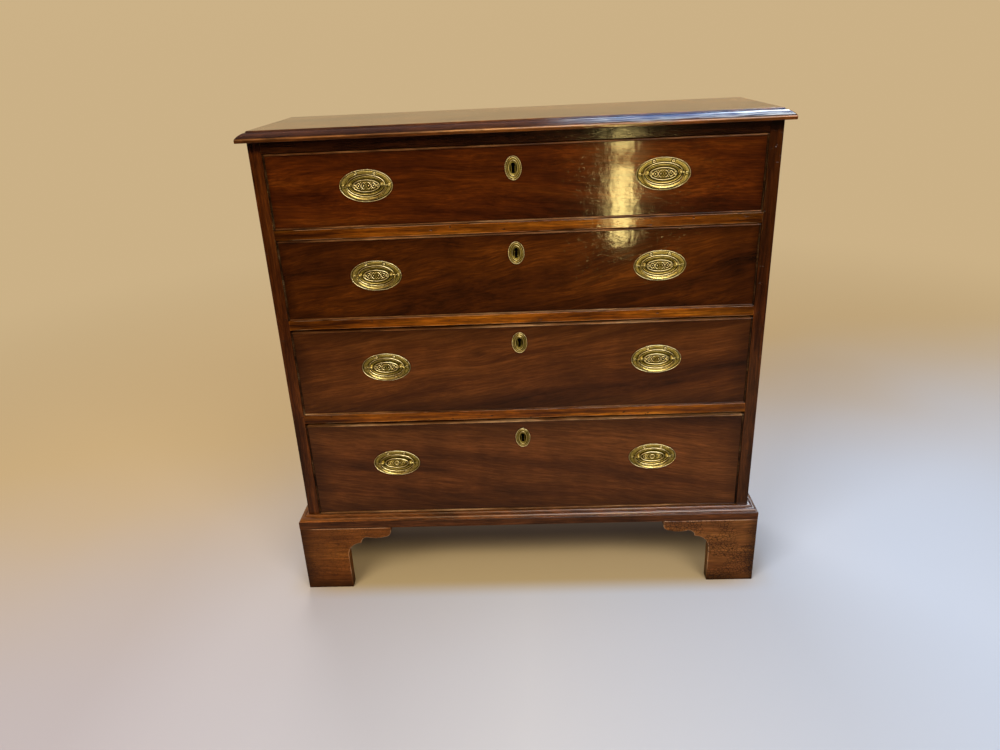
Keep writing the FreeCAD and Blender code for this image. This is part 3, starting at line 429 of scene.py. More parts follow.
BRASS = ((0.024, 0.017, 0.0024), (0.23, 0.18, 0.037), (0.54, 0.44, 0.145), (0.74, 0.66, 0.36))
IRON = ((0.002, 0.0015, 0.001), (0.06, 0.046, 0.037), (0.14, 0.122, 0.106), (0.25, 0.23, 0.205))


# ---- pieces ----

COPLANAR = math.radians(0.6)    # faces that meet flatter than this are one face
SHARP = math.radians(32)        # edges sharper than this are arrises
WELD = 0.000005                 # points nearer than this, in metres, are one point


def new_object(name, data):
    made = bpy.data.objects.new(name, data)
    bpy.context.scene.collection.objects.link(made)
    return made


def add_piece(name, vertices, faces, body, material, node=None):
    """A smooth piece of its own, which rides on a body and may stand for a CAD node."""
    mesh = bpy.data.meshes.new(name)
    mesh.from_pydata([tuple(v) for v in vertices], [], faces)
    mesh.validate()
    mesh.polygons.foreach_set("use_smooth", [True] * len(mesh.polygons))
    mesh.materials.append(material)
    piece = new_object(name, mesh)
    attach(piece, body)
    if node:
        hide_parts(node)
    return piece


def body_of(node):
    return next(body for body, nodes in frame["record"]["behaviour"]["bodies"].items() if node in nodes)


def finish_node(node, material):
    """Give a CAD node its material and keep its shape."""
    mesh = frame["nodes"][node].data
    mesh.materials.clear()
    mesh.materials.append(material)


def split_solids(mesh):
    """The closed solids of a CAD mesh, each with its own points: a list of (points, faces)."""
    solids, open_edges, index, points, faces = [], set(), {}, [], []
    for polygon in mesh.polygons:
        corners = [tuple(round(c, 7) for c in mesh.vertices[v].co) for v in polygon.vertices]
        for corner in corners:
            if corner not in index:
                index[corner] = len(points)
                points.append(corner)
        face = tuple(index[corner] for corner in corners)
        faces.append(face)
        for edge in zip(face, face[1:] + face[:1]):
            if edge[::-1] in open_edges:
                open_edges.remove(edge[::-1])
            else:
                open_edges.add(edge)
        if not open_edges:
            solids.append((points, faces))
            index, points, faces = {}, [], []
    return solids + ([(points, faces)] if faces else [])


def joined_boards(node, mitred, even):
    """A node's boards as one mesh whose flat faces aren't divided."""
    built = bmesh.new()
    for points, faces in split_solids(frame["nodes"][node].data):
        corners = [built.verts.new(point) for point in points]
        for face in faces:
            built.faces.new([corners[i] for i in face])
    if even:
        # The facets of the right half become those of the left, so that boards meet at both mitres.
        bmesh.ops.symmetrize(built, input=built.verts[:] + built.edges[:] + built.faces[:], direction="-X")
    built.normal_update()
    bmesh.ops.dissolve_limit(built, angle_limit=COPLANAR, verts=built.verts, edges=built.edges)
    if mitred:
        # Two boards that meet on one whole face become one skin, so that the rubbed corner runs over both.
        bmesh.ops.remove_doubles(built, verts=built.verts, dist=WELD)
        inner = [face for face in built.faces if all(len(edge.link_faces) > 2 for edge in face.edges)]
        bmesh.ops.delete(built, geom=inner, context="FACES")
    for face in built.faces:
        face.smooth = True
    mesh = bpy.data.meshes.new(f"{node}_eased")
    built.to_mesh(mesh)
    built.free()
    return mesh


def ease(node, material, width, mitred=False, even=False, clamp=True):
    """A copy of a node's boards with their arrises rubbed round, which stands for the node.

    The bevel's faces get the second material slot for a while, which tells them from the others.
    """
    mesh = joined_boards(node, mitred, even)
    for _ in range(2):
        mesh.materials.append(material)
    piece = new_object(f"{node}_eased", mesh)
    bevel = piece.modifiers.new("bevel", "BEVEL")
    bevel.width = width
    bevel.segments = 2
    bevel.limit_method = "ANGLE"
    bevel.angle_limit = SHARP
    bevel.harden_normals = True
    bevel.use_clamp_overlap = clamp
    bevel.material = 1
    bpy.context.view_layer.update()
    made = bpy.data.meshes.new_from_object(piece.evaluated_get(bpy.context.evaluated_depsgraph_get()))
    piece.modifiers.clear()
    piece.data = made
    indices = np.zeros(len(made.polygons), dtype=np.int32)
    made.polygons.foreach_get("material_index", indices)
    made.attributes.new("worn", "FLOAT", "FACE").data.foreach_set("value", (indices == 1).astype(np.float32))
    made.polygons.foreach_set("material_index", np.zeros_like(indices))
    made.materials.clear()
    made.materials.append(material)
    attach(piece, body_of(node))
    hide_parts(node)


# ---- brass ----

def oval_depth(u, v, width, height):
    """Roughly how far inside an oval each point lies, in mm."""
    a, b = width / 2, height / 2
    share = np.hypot(u / a, v / b)
    return (1 - share) * share / np.maximum(np.hypot(u / a ** 2, v / b ** 2), 1e-9)


def outline(angles, inside, far=60.0):
    """The distance from the middle to an outline along each angle."""
    low, high = np.zeros_like(angles), np.full_like(angles, far)
    for _ in range(40):
        middle = (low + high) / 2
        held = inside(middle * np.cos(angles), middle * np.sin(angles)) > 0
        low, high = np.where(held, middle, low), np.where(held, high, middle)
    return low


def first_exit(angles, inside, pace=0.01, far=14.0):
    """Where each ray from the middle first leaves a shape."""
    distances = np.arange(pace, far, pace)[:, None]
    held = inside(distances * np.cos(angles), distances * np.sin(angles)) > 0
    return distances[np.argmin(held, axis=0), 0]


def step(value, low, high):
    """From 0 at low to 1 at high, smoothly."""
    t = np.clip((value - low) / (high - low), 0, 1)
    return t * t * (3 - 2 * t)


def ridge(distance, half):
    """A round ridge where the distance is zero."""
    return np.sqrt(np.clip(1 - (distance / half) ** 2, 0, 1))


# Ovals and places on the brasses, in mm.
PLATE = (91.0, 54.5)
RING = (66.0, 37.0)           # the edge of the hollow round the boss
BOSS = (45.5, 20.5)
ROSETTES = [(x, y) for x in (-15.8, 15.8) for y in (-20.1, 20.1)]
BARS = (-40.0, -37.9, 37.9, 40.0)
STUDS = (-35.3, 35.3)
ESCUTCHEON = (40.3, 28.5)
EYE = (26.6, 16.0)            # the edge of the rise round the keyhole
KEY_RADIUS, KEY_SLOT, KEY_LENGTH = 3.7, 5.0, 18.0
# The relief meshes: points round them, and rings from the middle out.
PLATE_GRID = (340, 68)
ESCUTCHEON_GRID = (240, 40)
SMOOTH_ROUNDS = 14            # what stands over the relief smoothed so often is rubbed bright
LEVEL_RUB = 0.34              # how rubbed the level parts are
RUB_PER_MM = 1.6              # and how much more what stands over them is
KEYPLATE_RUB = 0.04           # and how much more a keyhole's plate is


def beads(u, v, size, count):
    """From 0 to 1 and back for each of a number of beads, evenly spaced round an oval."""
    turns = np.linspace(-math.pi, math.pi, 721)
    pace = np.hypot(size[0] * np.sin(turns), size[1] * np.cos(turns))
    walked = np.concatenate([[0], np.cumsum(pace[1:] + pace[:-1])])
    share = np.interp(np.arctan2(v / size[1], u / size[0]), turns, walked / walked[-1])
    return 0.5 + 0.5 * np.cos(share * count * 2 * math.pi)


def flower(u, v):
    """The boss of the lowest handles: a small flower between two scrolls."""
    away = np.hypot(u, v)
    petals = 0.5 + 0.5 * np.cos(6 * np.arctan2(v, u))
    carved = 0.85 * ridge(away - 4.2, 0.7) + 0.7 * ridge(away - 2.2, 1.0) * petals
    carved += 0.7 * ridge(away, 0.7)
    for x in (-12.0, 12.0):
        turn = np.hypot((u - x) * 0.8, v)
        swirl = 0.5 + 0.5 * np.cos(turn * 2.4 + np.sign(x) * np.arctan2(v, u - x))
        carved += 0.6 * swirl * (1 - step(turn, 4.5, 6.0))
    return carved


def crossed_waves(u, v):
    """The boss of the other handles: two crossing waves, with a bead in each loop and by each crossing."""
    carved = np.zeros_like(u)
    pitch, swing = 8.6, 5.4 * np.sqrt(np.clip(1 - (u / 21.8) ** 2, 0, 1))
    for sign in (-1, 1):
        line = sign * swing * np.sin(math.pi * u / pitch)
        slope = np.hypot(1, swing * math.pi / pitch * np.cos(math.pi * u / pitch))
        carved = np.maximum(carved, 0.95 * ridge((v - line) / slope, 0.85))
    for x in (-12.9, -4.3, 4.3, 12.9):
        carved = np.maximum(carved, 0.8 * ridge(np.hypot(u - x, v), 1.2))
    for x in (-8.6, 0.0, 8.6):
        carved = np.maximum(carved, 0.6 * ridge(np.hypot(u - x, np.abs(v) - 5.2), 1.0))
    return carved


def plate_height(u, v, carving):
    """The stamped relief of a handle's oval plate, in mm off the drawer."""
    rim = oval_depth(u, v, *PLATE)
    ring = oval_depth(u, v, *RING)
    boss = oval_depth(u, v, *BOSS)
    height = 0.6 + 0.3 * step(rim, 0.0, 0.4) + np.zeros_like(u)
    height += ridge(rim - 0.85, 0.8) * (0.9 + 0.5 * beads(u, v, PLATE, 66))
    height -= 0.3 * ridge(rim - 2.2, 0.6)
    height += 0.3 * step(rim, 2.6, 3.4) * (1 - step(rim, 7.0, 8.2))
    for x, y in ROSETTES:
        away = np.hypot(u - x, v - y)
        height += 0.85 * ridge(away - 1.75, 0.7) + 0.8 * ridge(away, 0.75) - 0.45 * ridge(away - 3.0, 0.6)
    for x in BARS:
        height += 0.75 * ridge(u - x, 0.7) * (1 - step(np.abs(v), 1.9, 2.6))
    for x in STUDS:
        height += 0.7 * ridge(np.hypot(u - x, v), 0.9)
    height += 1.15 * ridge(ring - 0.5, 0.75) - 0.4 * ridge(ring + 0.9, 0.7)
    height -= 0.75 * step(ring, 0.9, 3.6)
    height += 0.45 * ridge(ring - 3.6, 0.55)
    height += 1.7 * step(boss, -1.3, 0.3)
    height += 0.75 * ridge(boss - 0.5, 0.65) * (0.7 + 0.3 * beads(u, v, BOSS, 36))
    height -= 0.55 * step(boss, 0.9, 1.6)
    return height + step(boss, 1.1, 1.9) * carving(u, v)


def escutcheon_height(u, v):
    """The relief of a keyhole's plate, in mm off the drawer; u runs up, v across."""
    rim = oval_depth(u, v, *ESCUTCHEON)
    eye = oval_depth(u, v, *EYE)
    height = 0.5 + 0.4 * step(rim, 0.0, 0.4) + np.zeros_like(u)
    height += ridge(rim - 0.9, 0.85) * (0.9 + 0.6 * beads(u, v, ESCUTCHEON, 36))
    height -= 0.35 * ridge(rim - 2.3, 0.6)
    height += 0.4 * ridge(rim - 3.5, 0.5)
    height += 0.6 * step(eye, -1.2, 0.2) + 0.75 * ridge(eye - 0.4, 0.75) - 0.6 * step(eye, 0.8, 3.4)
    return height


def keyhole(u, v):
    """Positive inside the keyhole; u runs up, v across."""
    top = KEY_LENGTH / 2 - KEY_RADIUS
    eye = KEY_RADIUS - np.hypot(u - top, v)
    slot = np.minimum(KEY_SLOT / 2 - np.abs(v), np.minimum(u + KEY_LENGTH / 2, top - u))
    return np.maximum(eye, slot)


def relief(inner, outer, rows, height, angles, flat):
    """Rings of points from an inner outline to an outer one, with a height and how rubbed each point is.

    The rings follow the outer outline from a share of it, flat, outwards.
    """
    blend = np.linspace(0, 1, 6)[:-1, None]
    near = inner * (1 - blend) + outer * flat * blend
    radius = np.vstack([near, outer * np.linspace(flat, 1, rows)[:, None]])
    u, v = radius * np.cos(angles), radius * np.sin(angles)
    raised = height(u, v)
    smooth = raised.copy()
    for _ in range(SMOOTH_ROUNDS):
        around = np.roll(smooth, 1, 1) + np.roll(smooth, -1, 1)
        padded = np.vstack([smooth[:1], smooth, smooth[-1:]])
        smooth = (smooth * 2 + around + padded[:-2] + padded[2:]) / 6
    rubbed = np.clip(LEVEL_RUB + (raised - smooth) * RUB_PER_MM, 0, 1)
    return u, v, raised, rubbed


def ring_faces(rings, count, closed=False):
    """The skin over rings of count points each: capped, or closed from the last ring to the first."""
    last = rings - 1
    spans = [(ring, ring + 1) for ring in range(last)]
    faces = []
    if closed:
        spans.append((last, 0))
    else:
        faces.append(tuple(range(count)))
        faces.append(tuple(last * count + k for k in reversed(range(count))))
    for low, high in spans:
        for k in range(count):
            following = (k + 1) % count
            faces.append((low * count + k, high * count + k,
                          high * count + following, low * count + following))
    return faces


def plate_mesh(rings, hole):
    """Vertices (u, v, height) in mm, faces and the rubbed value of each vertex."""
    u, v, raised, rubbed = rings
    loops = [(u[i], v[i], raised[i], rubbed[i]) for i in range(len(u))]
    loops.append((u[-1], v[-1], raised[-1] * 0, rubbed[-1]))
    if hole:
        loops.insert(0, (u[0], v[0], raised[0] * 0, rubbed[0] * 0))
    points = np.concatenate([np.stack([a, b, c], 1) for a, b, c, _ in loops])
    worn = np.concatenate([d for *_, d in loops])
    return points, ring_faces(len(loops), u.shape[1], closed=hole), worn


def set_worn(piece, worn):
    attribute = piece.data.attributes.new("rubbed", "FLOAT", "POINT")
    attribute.data.foreach_set("value", worn.astype(np.float32))


def make_plates(number, level, material):
    spokes, rows = PLATE_GRID
    carving = flower if number == 4 else crossed_waves
    angles = np.linspace(0, 2 * math.pi, spokes, endpoint=False)
    outer = outline(angles, lambda u, v: oval_depth(u, v, *PLATE))
    # The rings start almost at a point.
    rings = relief(outer * 0.006, outer, rows, lambda u, v: plate_height(u, v, carving), angles, 0.01)
    points, faces, worn = plate_mesh(rings, False)
    every_point, every_face = [], []
    for sign in SIDES.values():
        base = len(every_point)
        for across, up, out in points:
            every_point.append((sign * HANDLE_X + across * MM, FRONT - out * MM, level + up * MM))
        every_face += [tuple(base + i for i in face) for face in faces]
    piece = add_piece(f"drawer_{number}_plates", every_point, every_face, f"drawer_{number}",
                      material, f"drawer_{number}_handle_plates")
    set_worn(piece, np.concatenate([worn, worn]))


def make_escutcheon(number, level, material):
    spokes, rows = ESCUTCHEON_GRID
    angles = np.linspace(0, 2 * math.pi, spokes, endpoint=False)
    outer = outline(angles, lambda u, v: oval_depth(u, v, *ESCUTCHEON))
    inner = first_exit(angles, keyhole)
    rings = relief(inner, outer, rows, escutcheon_height, angles, 0.5)
    points, faces, worn = plate_mesh(rings, True)
    placed = [(across * MM, FRONT - out * MM, level + up * MM) for up, across, out in points]
    turned = [tuple(reversed(face)) for face in faces]
    piece = add_piece(f"drawer_{number}_keyplate", placed, turned, f"drawer_{number}", material,
                      f"drawer_{number}_escutcheon")
    set_worn(piece, worn + KEYPLATE_RUB)


PIN_RADIUS = 1.1              # mm
WIRE_RADIUS = 1.5
BELLY = 0.5                   # how much thicker the wire is at the bottom of the loop
WIRE_SIDES = 14


def bail_path():
    """The middle line and radius of a bail, in mm from its pivot: left pin, loop, right pin."""
    half, elbow, drop = 33.5, 2.5, 24.0
    turn = np.linspace(math.pi, 2 * math.pi, 73)
    reach = outline(turn, lambda u, v: oval_depth(u, v, 2 * half, 2 * (drop - elbow)))
    loop = np.stack([reach * np.cos(turn), reach * np.sin(turn) - elbow], 1)
    bend = np.linspace(math.pi / 2, math.pi, 9)[:-1]
    corner = np.stack([elbow - half + elbow * np.cos(bend), elbow * np.sin(bend) - elbow], 1)
    pin = np.array([(-25.5, 0.0), (-28.0, 0.0), (elbow - half, 0.0)])
    left = np.concatenate([pin, corner])
    right = left[::-1] * (-1, 1)
    line = np.concatenate([left, loop, right])
    span = np.abs(line[:, 0])
    radius = WIRE_RADIUS + BELLY * (1 - step(span, 6.0, 30.0))
    radius[:3] = radius[-3:] = PIN_RADIUS
    return line, radius


def make_bail(number, side, level, material):
    line, radius = bail_path()
    ahead = np.gradient(line, axis=0)
    ahead /= np.linalg.norm(ahead, axis=1)[:, None]
    inward = np.stack([-ahead[:, 1], ahead[:, 0]], 1)
    # A second ring where the pin enters the thicker wire gives a square shoulder.
    order = [0, 1, 2, 2] + list(range(3, len(line) - 3)) + [-3, -3, -2, -1]
    widths = np.concatenate([radius[:3], [WIRE_RADIUS], radius[3:-3], [WIRE_RADIUS], radius[-3:]])
    turns = np.linspace(0, 2 * math.pi, WIRE_SIDES, endpoint=False)
    centre = Vector((SIDES[side] * HANDLE_X, FRONT - PIVOT_OUT * MM, level + PIVOT_LIFT * MM))
    points = []
    for index, width in zip(order, widths):
        for turn in turns:
            flat = line[index] + inward[index] * width * math.cos(turn)
            points.append(centre + Vector((flat[0], width * math.sin(turn), flat[1])) * MM)
    add_piece(f"drawer_{number}_{side}_bail", points, ring_faces(len(order), WIRE_SIDES),
              f"bail_{number}_{side}", material, f"drawer_{number}_bail_{side}")


# Nails: places across a board, rings as (out of the board, share of the radius), and metres.
NAIL_PLACES = (0.24, 0.76)
NAIL_RINGS = ((-0.0006, 1.0), (0.0002, 1.0), (0.0005, 0.55))
NAIL_SIDES = 9
NAIL_RADIUS = 0.003
NAIL_ODDNESS = 0.0004
NAIL_STRAY = 0.006


def make_back_nails(material):
    """Hand-forged nails that hold the back boards, a little proud and none quite alike."""
    low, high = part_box("back_boards")
    points, faces = [], []
    first, pitch = BACK_BOARDS
    skin = ring_faces(len(NAIL_RINGS), NAIL_SIDES)
    for board in range(BACK_BOARD_COUNT):
        for row, level in enumerate((low.z + 0.01, high.z - 0.009)):
            for place in NAIL_PLACES:
                chance = np.random.default_rng(board * 10 + row * 3 + int(place * 4))
                middle = first + pitch * (board + place) + chance.uniform(-NAIL_STRAY, NAIL_STRAY)
                base = len(points)
                for out, share in NAIL_RINGS:
                    for k in range(NAIL_SIDES):
                        turn = 2 * math.pi * k / NAIL_SIDES
                        radius = share * (NAIL_RADIUS + chance.uniform(-NAIL_ODDNESS, NAIL_ODDNESS))
                        points.append((middle + radius * math.cos(turn), high.y + out,
                                       level + radius * math.sin(turn)))
                faces += [tuple(base + k for k in face) for face in skin]
    add_piece("back_nails", points, faces, "carcase", material)


# ---- the chest ----

MOULDING_TOP = 0.914          # where the moulding of the top meets its flat
SIDE_MIDDLE = 0.565           # the height at which the painted light on the sides' front edges changes
DRAWER_WOODS = {
    1: dict(tones=RED, gloss=0.075, shear=0.05, warp=0.07, figure=(2.6, 24.0, 24.0), contrast=0.8),
    2: dict(tones=TAWNY, gloss=0.06, shear=-0.16, warp=0.1, figure=(2.4, 18.0, 18.0), contrast=0.8,
            spread=0.42, knots=((0.385, 0.648, 0.03),)),
    3: dict(tones=BROWN, shear=-0.14, warp=0.05, figure=(2.2, 26.0, 26.0), contrast=0.6, spread=0.62,
            fade=0.05, knots=((-0.076, 0.509, 0.022),)),
    4: dict(tones=FAWN, shear=0.13, warp=0.05, figure=(2.2, 22.0, 22.0), contrast=0.65, spread=0.6,
            fade=0.05),
}


def make_case():
    """The top, the sides and the rails."""
    # The bands paint light on the moulding: painted shade on the nose's lower part, a painted highlight
    # along its upper edge and painted shade in the hollow above.
    top = mahogany("mahogany_top", TOP, X, Y, Z, seed=1, figure=(1.2, 20.0, 20.0), warp=0.03,
                   panel=(*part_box("top"), 2), edge_darkening=0.3, gloss=0.08, coat=0.78, ripple=0.4, wear=0.6,
                   spread=0.3, planed=MOULDING_TOP,
                   bands=((0.896, 0.901, (0.75, 0.58, 0.4)), (0.901, 0.9036, (1.5, 1.6, 2.0)),
                          (0.9036, MOULDING_TOP, (0.36, 0.3, 0.4))))
    ease("top", top, 0.0014, clamp=False)
    # Painted light on the sides' front edges: each is multiplied by how it is lit, the right one darker;
    # both are lighter and bluer below SIDE_MIDDLE, and above 0.876 a painted shadow from the top darkens
    # them.
    for side, painted_light, painted_light_below in (("left", (0.92, 0.88, 0.8), (1.0, 1.05, 1.25)),
                                   ("right", (0.62, 0.6, 0.52), (0.95, 1.15, 1.6))):
        stile = mahogany(f"mahogany_side_{side}", STILE, Z, XY, ACROSS_XY, seed=2, figure=(1.8, 24.0, 24.0),
                         gloss=0.13, specks=0.4, wear=0.7,
                         bands=((-0.1, SIDE_MIDDLE, painted_light_below, 0.1), (SIDE_MIDDLE, 1.1, painted_light, 0.1),
                                (0.876, 1.0, (0.27, 0.26, 0.42), 0.008)))
        ease(f"side_{side}", stile, 0.001)
    ease("top_rails", mahogany("mahogany_frieze", FRIEZE_AND_SHADOW, seed=3, gloss=0.11, ripple=1.4), 0.0006)
    # The rails darken towards their ends alone: the panel's upper and lower sides are moved away.
    low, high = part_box("drawer_rails")
    low, high = low - Vector((0, 0, 1)), high + Vector((0, 0, 1))
    rails = mahogany("mahogany_rails", AMBER, seed=4, figure=(4.0, 90.0, 90.0), warp=0.02,
                     panel=(low, high, 1), edge_darkening=0.55, fade=0.17, gloss=0.08, ripple=1.2, pale=0.3,
                     specks=0.75, spread=0.36, bands=((0.3, 0.66, (1.4, 1.45, 1.2)),))
    ease("drawer_rails", rails, 0.0011)


def make_base():
    """The mitred rails and mouldings, and the feet."""
    base = mahogany("mahogany_base", BASE, XY, Z, FLAT, seed=5, figure=(3.5, 60.0, 60.0), warp=0.02,
                    gloss=0.14, spread=0.6, specks=0.5)
    ease("base_rails", base, 0.0008, mitred=True, even=True)
    # The band paints a highlight on the moulding above 0.16 m.
    ledge = mahogany("mahogany_ledge", BASE, XY, Z, FLAT, seed=15, figure=(3.5, 60.0, 60.0), warp=0.02,
                     gloss=0.16, coat=0.9, spread=0.6, bands=((0.16, 0.18, (1.9, 2.0, 1.6)),))
    ease("base_mouldings", ledge, 0.0003, mitred=True, even=True)
    # Painted light: each foot's colour is multiplied by how it is lit, the right foot lighter and bluer, the
    # back feet darker; the last band makes every foot darker towards the floor.
    for node, inner, craze, painted_light in (("foot_front_left", (0, 1), 0.35, (1.05, 1.05, 1.15)),
                                      ("foot_front_right", (-1, 0), 0.8, (1.55, 1.85, 2.7)),
                                      ("feet_back", (0, 0), 0.3, (0.9, 0.9, 1.0))):
        # The feet darken towards the outer side and the floor: the panel's other sides are moved away.
        low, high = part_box(node)
        low, high = low + Vector((0.1 * inner[0], 0, 0)), high + Vector((0.1 * inner[1], 0, 0.1))
        foot = mahogany(f"mahogany_{node}", FOOT, XY, Z, FLAT, seed=6, figure=(7.0, 30.0, 30.0), warp=0.04,
                        panel=(low, high, 1), edge_darkening=0.75, gloss=0.16, craze=craze, ripple=1.2, spread=0.9,
                        contrast=0.7, wear=1.0, pale=0.36, fade=0.035,
                        bands=((-0.1, 1.0, painted_light), (-0.2, 0.1, (0.74, 0.66, 0.62), 0.09)))
        ease(node, foot, 0.0014, mitred=node != "feet_back", clamp=False)


def make_inside(iron):
    """The plain boards inside and behind, and the nails."""
    pine_long = bare_wood("pine_rails", PINE, X, Y, Z, 7)
    pine_deep = bare_wood("pine_runners", PINE, Y, X, Z, 8)
    pine_back = bare_wood("pine_back", PINE, Z, X, Y, 9, sawn=True, boards=BACK_BOARDS)
    pine_block = bare_wood("pine_blocks", PINE, Z, XY, ACROSS_XY, 11)
    for node, pine in (("carcase_bottom", pine_long), ("dust_boards", pine_long),
                       ("drawer_runners", pine_deep), ("drawer_stops", pine_deep)):
        finish_node(node, pine)
    ease("back_boards", pine_back, 0.0012)
    make_back_nails(iron)
    ease("foot_blocks", pine_block, 0.0008)


def make_drawers(iron):
    brass = metal("brass_plain", BRASS, 0.22)
    stamped = metal("brass_stamped", BRASS, 0.34, patina="rubbed")
    oak = bare_wood("oak_sides", OAK, XY, Z, FLAT, 3)
    oak_flat = bare_wood("oak_bottoms", OAK, X, Y, Z, 5)
    # The beads' pale tones paint their highlight lines, and the upright beads at the drawers' ends are
    # painted dark as shade.
    bead = mahogany("mahogany_beads", BEAD_AND_SHINE, seed=12, figure=(3.5, 30.0, 30.0), gloss=0.2, coat=0.2,
                    ripple=0.5, spread=0.38, shaded_ends=0.413)
    for number in DRAWERS:
        name = f"drawer_{number}"
        key_low, key_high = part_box(f"{name}_escutcheon")
        key_level = (key_low.z + key_high.z) / 2
        front = mahogany(f"mahogany_{name}", seed=20 + number * 2.7, panel=(*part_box(f"{name}_front"), 1),
                         keyhole_shade_at=key_level, **DRAWER_WOODS[number])
        for part, material in (("front", front), ("cockbead", bead), ("box", oak), ("bottom", oak_flat),
                               ("lock", iron), ("lock_bolt", iron), ("handle_posts", brass)):
            finish_node(f"{name}_{part}", material)
        plate_low, plate_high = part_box(f"{name}_handle_plates")
        level = (plate_low.z + plate_high.z) / 2
        make_plates(number, level, stamped)
        for side in SIDES:
            make_bail(number, side, level, brass)
        make_escutcheon(number, key_level, stamped)


# ---- the studio ----

# The camera, as it was fitted to the photo.
CAMERA_PLACE = (0.0195, -1.4261, 1.0222)
CAMERA_YAW, CAMERA_PITCH, CAMERA_ROLL = (math.radians(a) for a in (-2.5534, 23.2368, -2.7611))
FOCAL_PIXELS = 760.94
PHOTO_WIDTH = 1000


def make_camera():
    data = bpy.data.cameras.new("camera")
    data.sensor_width = 36.0
    data.lens = FOCAL_PIXELS / PHOTO_WIDTH * data.sensor_width
    forward = Vector((math.sin(CAMERA_YAW) * math.cos(CAMERA_PITCH),
                      math.cos(CAMERA_YAW) * math.cos(CAMERA_PITCH), -math.sin(CAMERA_PITCH)))
    level = Vector((math.cos(CAMERA_YAW), -math.sin(CAMERA_YAW), 0))
    upright = level.cross(forward)
    right = level * math.cos(CAMERA_ROLL) + upright * math.sin(CAMERA_ROLL)
    up = -level * math.sin(CAMERA_ROLL) + upright * math.cos(CAMERA_ROLL)
    turn = Matrix((right, up, -forward)).transposed().to_4x4()
    camera = new_object("camera", data)
    camera.matrix_world = Matrix.Translation(CAMERA_PLACE) @ turn
    bpy.context.scene.camera = camera


def add_light(name, place, target, size, power, colour):
    data = bpy.data.lights.new(name, "AREA")
    data.shape = "RECTANGLE"
    data.size, data.size_y = size
    data.energy = power
    data.color = colour
    light = new_object(name, data)
    light.location = place
    light.rotation_mode = "QUATERNION"
    light.rotation_quaternion = (Vector(target) - Vector(place)).to_track_quat("-Z", "Y")
    return light


HORIZON = (0.6, 0.44, 0.24)
WALL = (0.64, 0.475, 0.255)
CEILING = (0.25, 0.18, 0.16)
DARK_ROOM = (0.018, 0.014, 0.009)
FILL = (0.34, 0.32, 0.3)
FLOOR_REACH = 14.0
LAMP_STRENGTH = 11.0
# Dim and brown on the left, golden in the middle, white on the right.
LAMP_STOPS = ((0.22, (0.08, 0.045, 0.015)), (0.43, (0.62, 0.46, 0.24)), (0.56, (1.0, 0.91, 0.86)))
# Where a glow is, as smooth steps of a direction: axis, from, to, share before and share after.
WINDOW_GATES = ((2, 0.42, 0.55, 0, 1), (0, 0.29, 0.42, 1, 0), (1, -0.2, -0.08, 0, 1), (1, 0.7, 0.85, 1, 0))
LAMP_GATES = ((2, 0.2, 0.3, 0, 1), (2, 0.66, 0.8, 1, 0), (1, -0.6, -0.4, 1, 0), (0, 0.42, 0.54, 1, 0))


def floor_paper():
    """Pale paper: lit near the chest, and the colour of the backdrop where it meets the horizon."""
    shader = Shader(bpy.data.materials.new("floor_paper"))
    place = shader.node("TexCoord").outputs["Object"]
    parts = shader.node("SeparateXYZ", {0: place}).outputs
    # Painted light: the paper is darker towards the left and bluer towards the right.
    cool = shader.ramp(shader.remap(parts[0], -1.3, 1.3),
                       ((0.1, (0.5, 0.46, 0.49)), (0.5, (0.72, 0.74, 0.82)), (0.9, (0.62, 0.72, 0.93))))
    cloud = shader.minus(shader.noise(place, (1.1, 1.1, 1.1), 2), 0.5)
    far = shader.minus(parts[1], shader.times(parts[0], 0.35))
    far = shader.plus(far, shader.times(cloud, 0.5))
    colour = shader.mix(shader.remap(far, -0.35, 1.0), cool, HORIZON)
    # Painted light and shadow on the paper: a warm pool of light under the front of the chest, and a shadow
    # under its back.
    aside = shader.math("ABSOLUTE", parts[0])
    painted_pool = shader.times(shader.remap(parts[1], -0.19, -0.13), shader.remap(parts[1], 0.1, 0.4, 1.0, 0.0))
    painted_pool = shader.times(painted_pool, shader.remap(aside, 0.38, 0.52, 1.0, 0.0))
    colour = shader.mix(shader.times(painted_pool, 0.9), colour, (0.56, 0.4, 0.17))
    painted_shadow = shader.times(shader.remap(parts[1], -0.05, 0.04), shader.remap(parts[1], 0.12, 0.17, 1.0, 0.0))
    painted_shadow = shader.times(painted_shadow, shader.remap(aside, 0.36, 0.46, 1.0, 0.0))
    colour = shader.mix(painted_shadow, colour, shader.mix(1.0, colour, (0.27, 0.28, 0.42), "MULTIPLY"))
    rays = shader.node("LightPath").outputs
    mirrored = shader.mix(shader.remap(parts[1], -2.0, -0.4), (0.03, 0.026, 0.02), (0.6, 0.5, 0.36))
    mirrored = shader.mix(rays["Is Glossy Ray"], (1.0, 1.0, 1.0), mirrored)
    paper = shader.node("BsdfDiffuse", {"Color": shader.mix(1.0, colour, mirrored, "MULTIPLY")}).outputs[0]
    away = shader.vector("LENGTH", shader.vector("MULTIPLY", place, (1.0, 1.0, 0.0)))
    blend = shader.times(shader.remap(away, 0.9, 3.2), rays["Is Camera Ray"])
    haze = shader.node("Emission", {"Color": (*HORIZON, 1), "Strength": 1.0}).outputs[0]
    seen = shader.node("MixShader", {0: blend, 1: paper, 2: haze}).outputs[0]
    shader.node("OutputMaterial", {"Surface": seen})
    return shader.holder


def make_floor():
    mesh = bpy.data.meshes.new("floor")
    corners = [(x * FLOOR_REACH, y * FLOOR_REACH, 0) for x, y in ((-1, -1), (1, -1), (1, 1), (-1, 1))]
    mesh.from_pydata(corners, [], [(0, 1, 2, 3)])
    mesh.materials.append(floor_paper())
    floor = new_object("floor", mesh)
    floor.location.z = CAD_BOUNDS[0].z


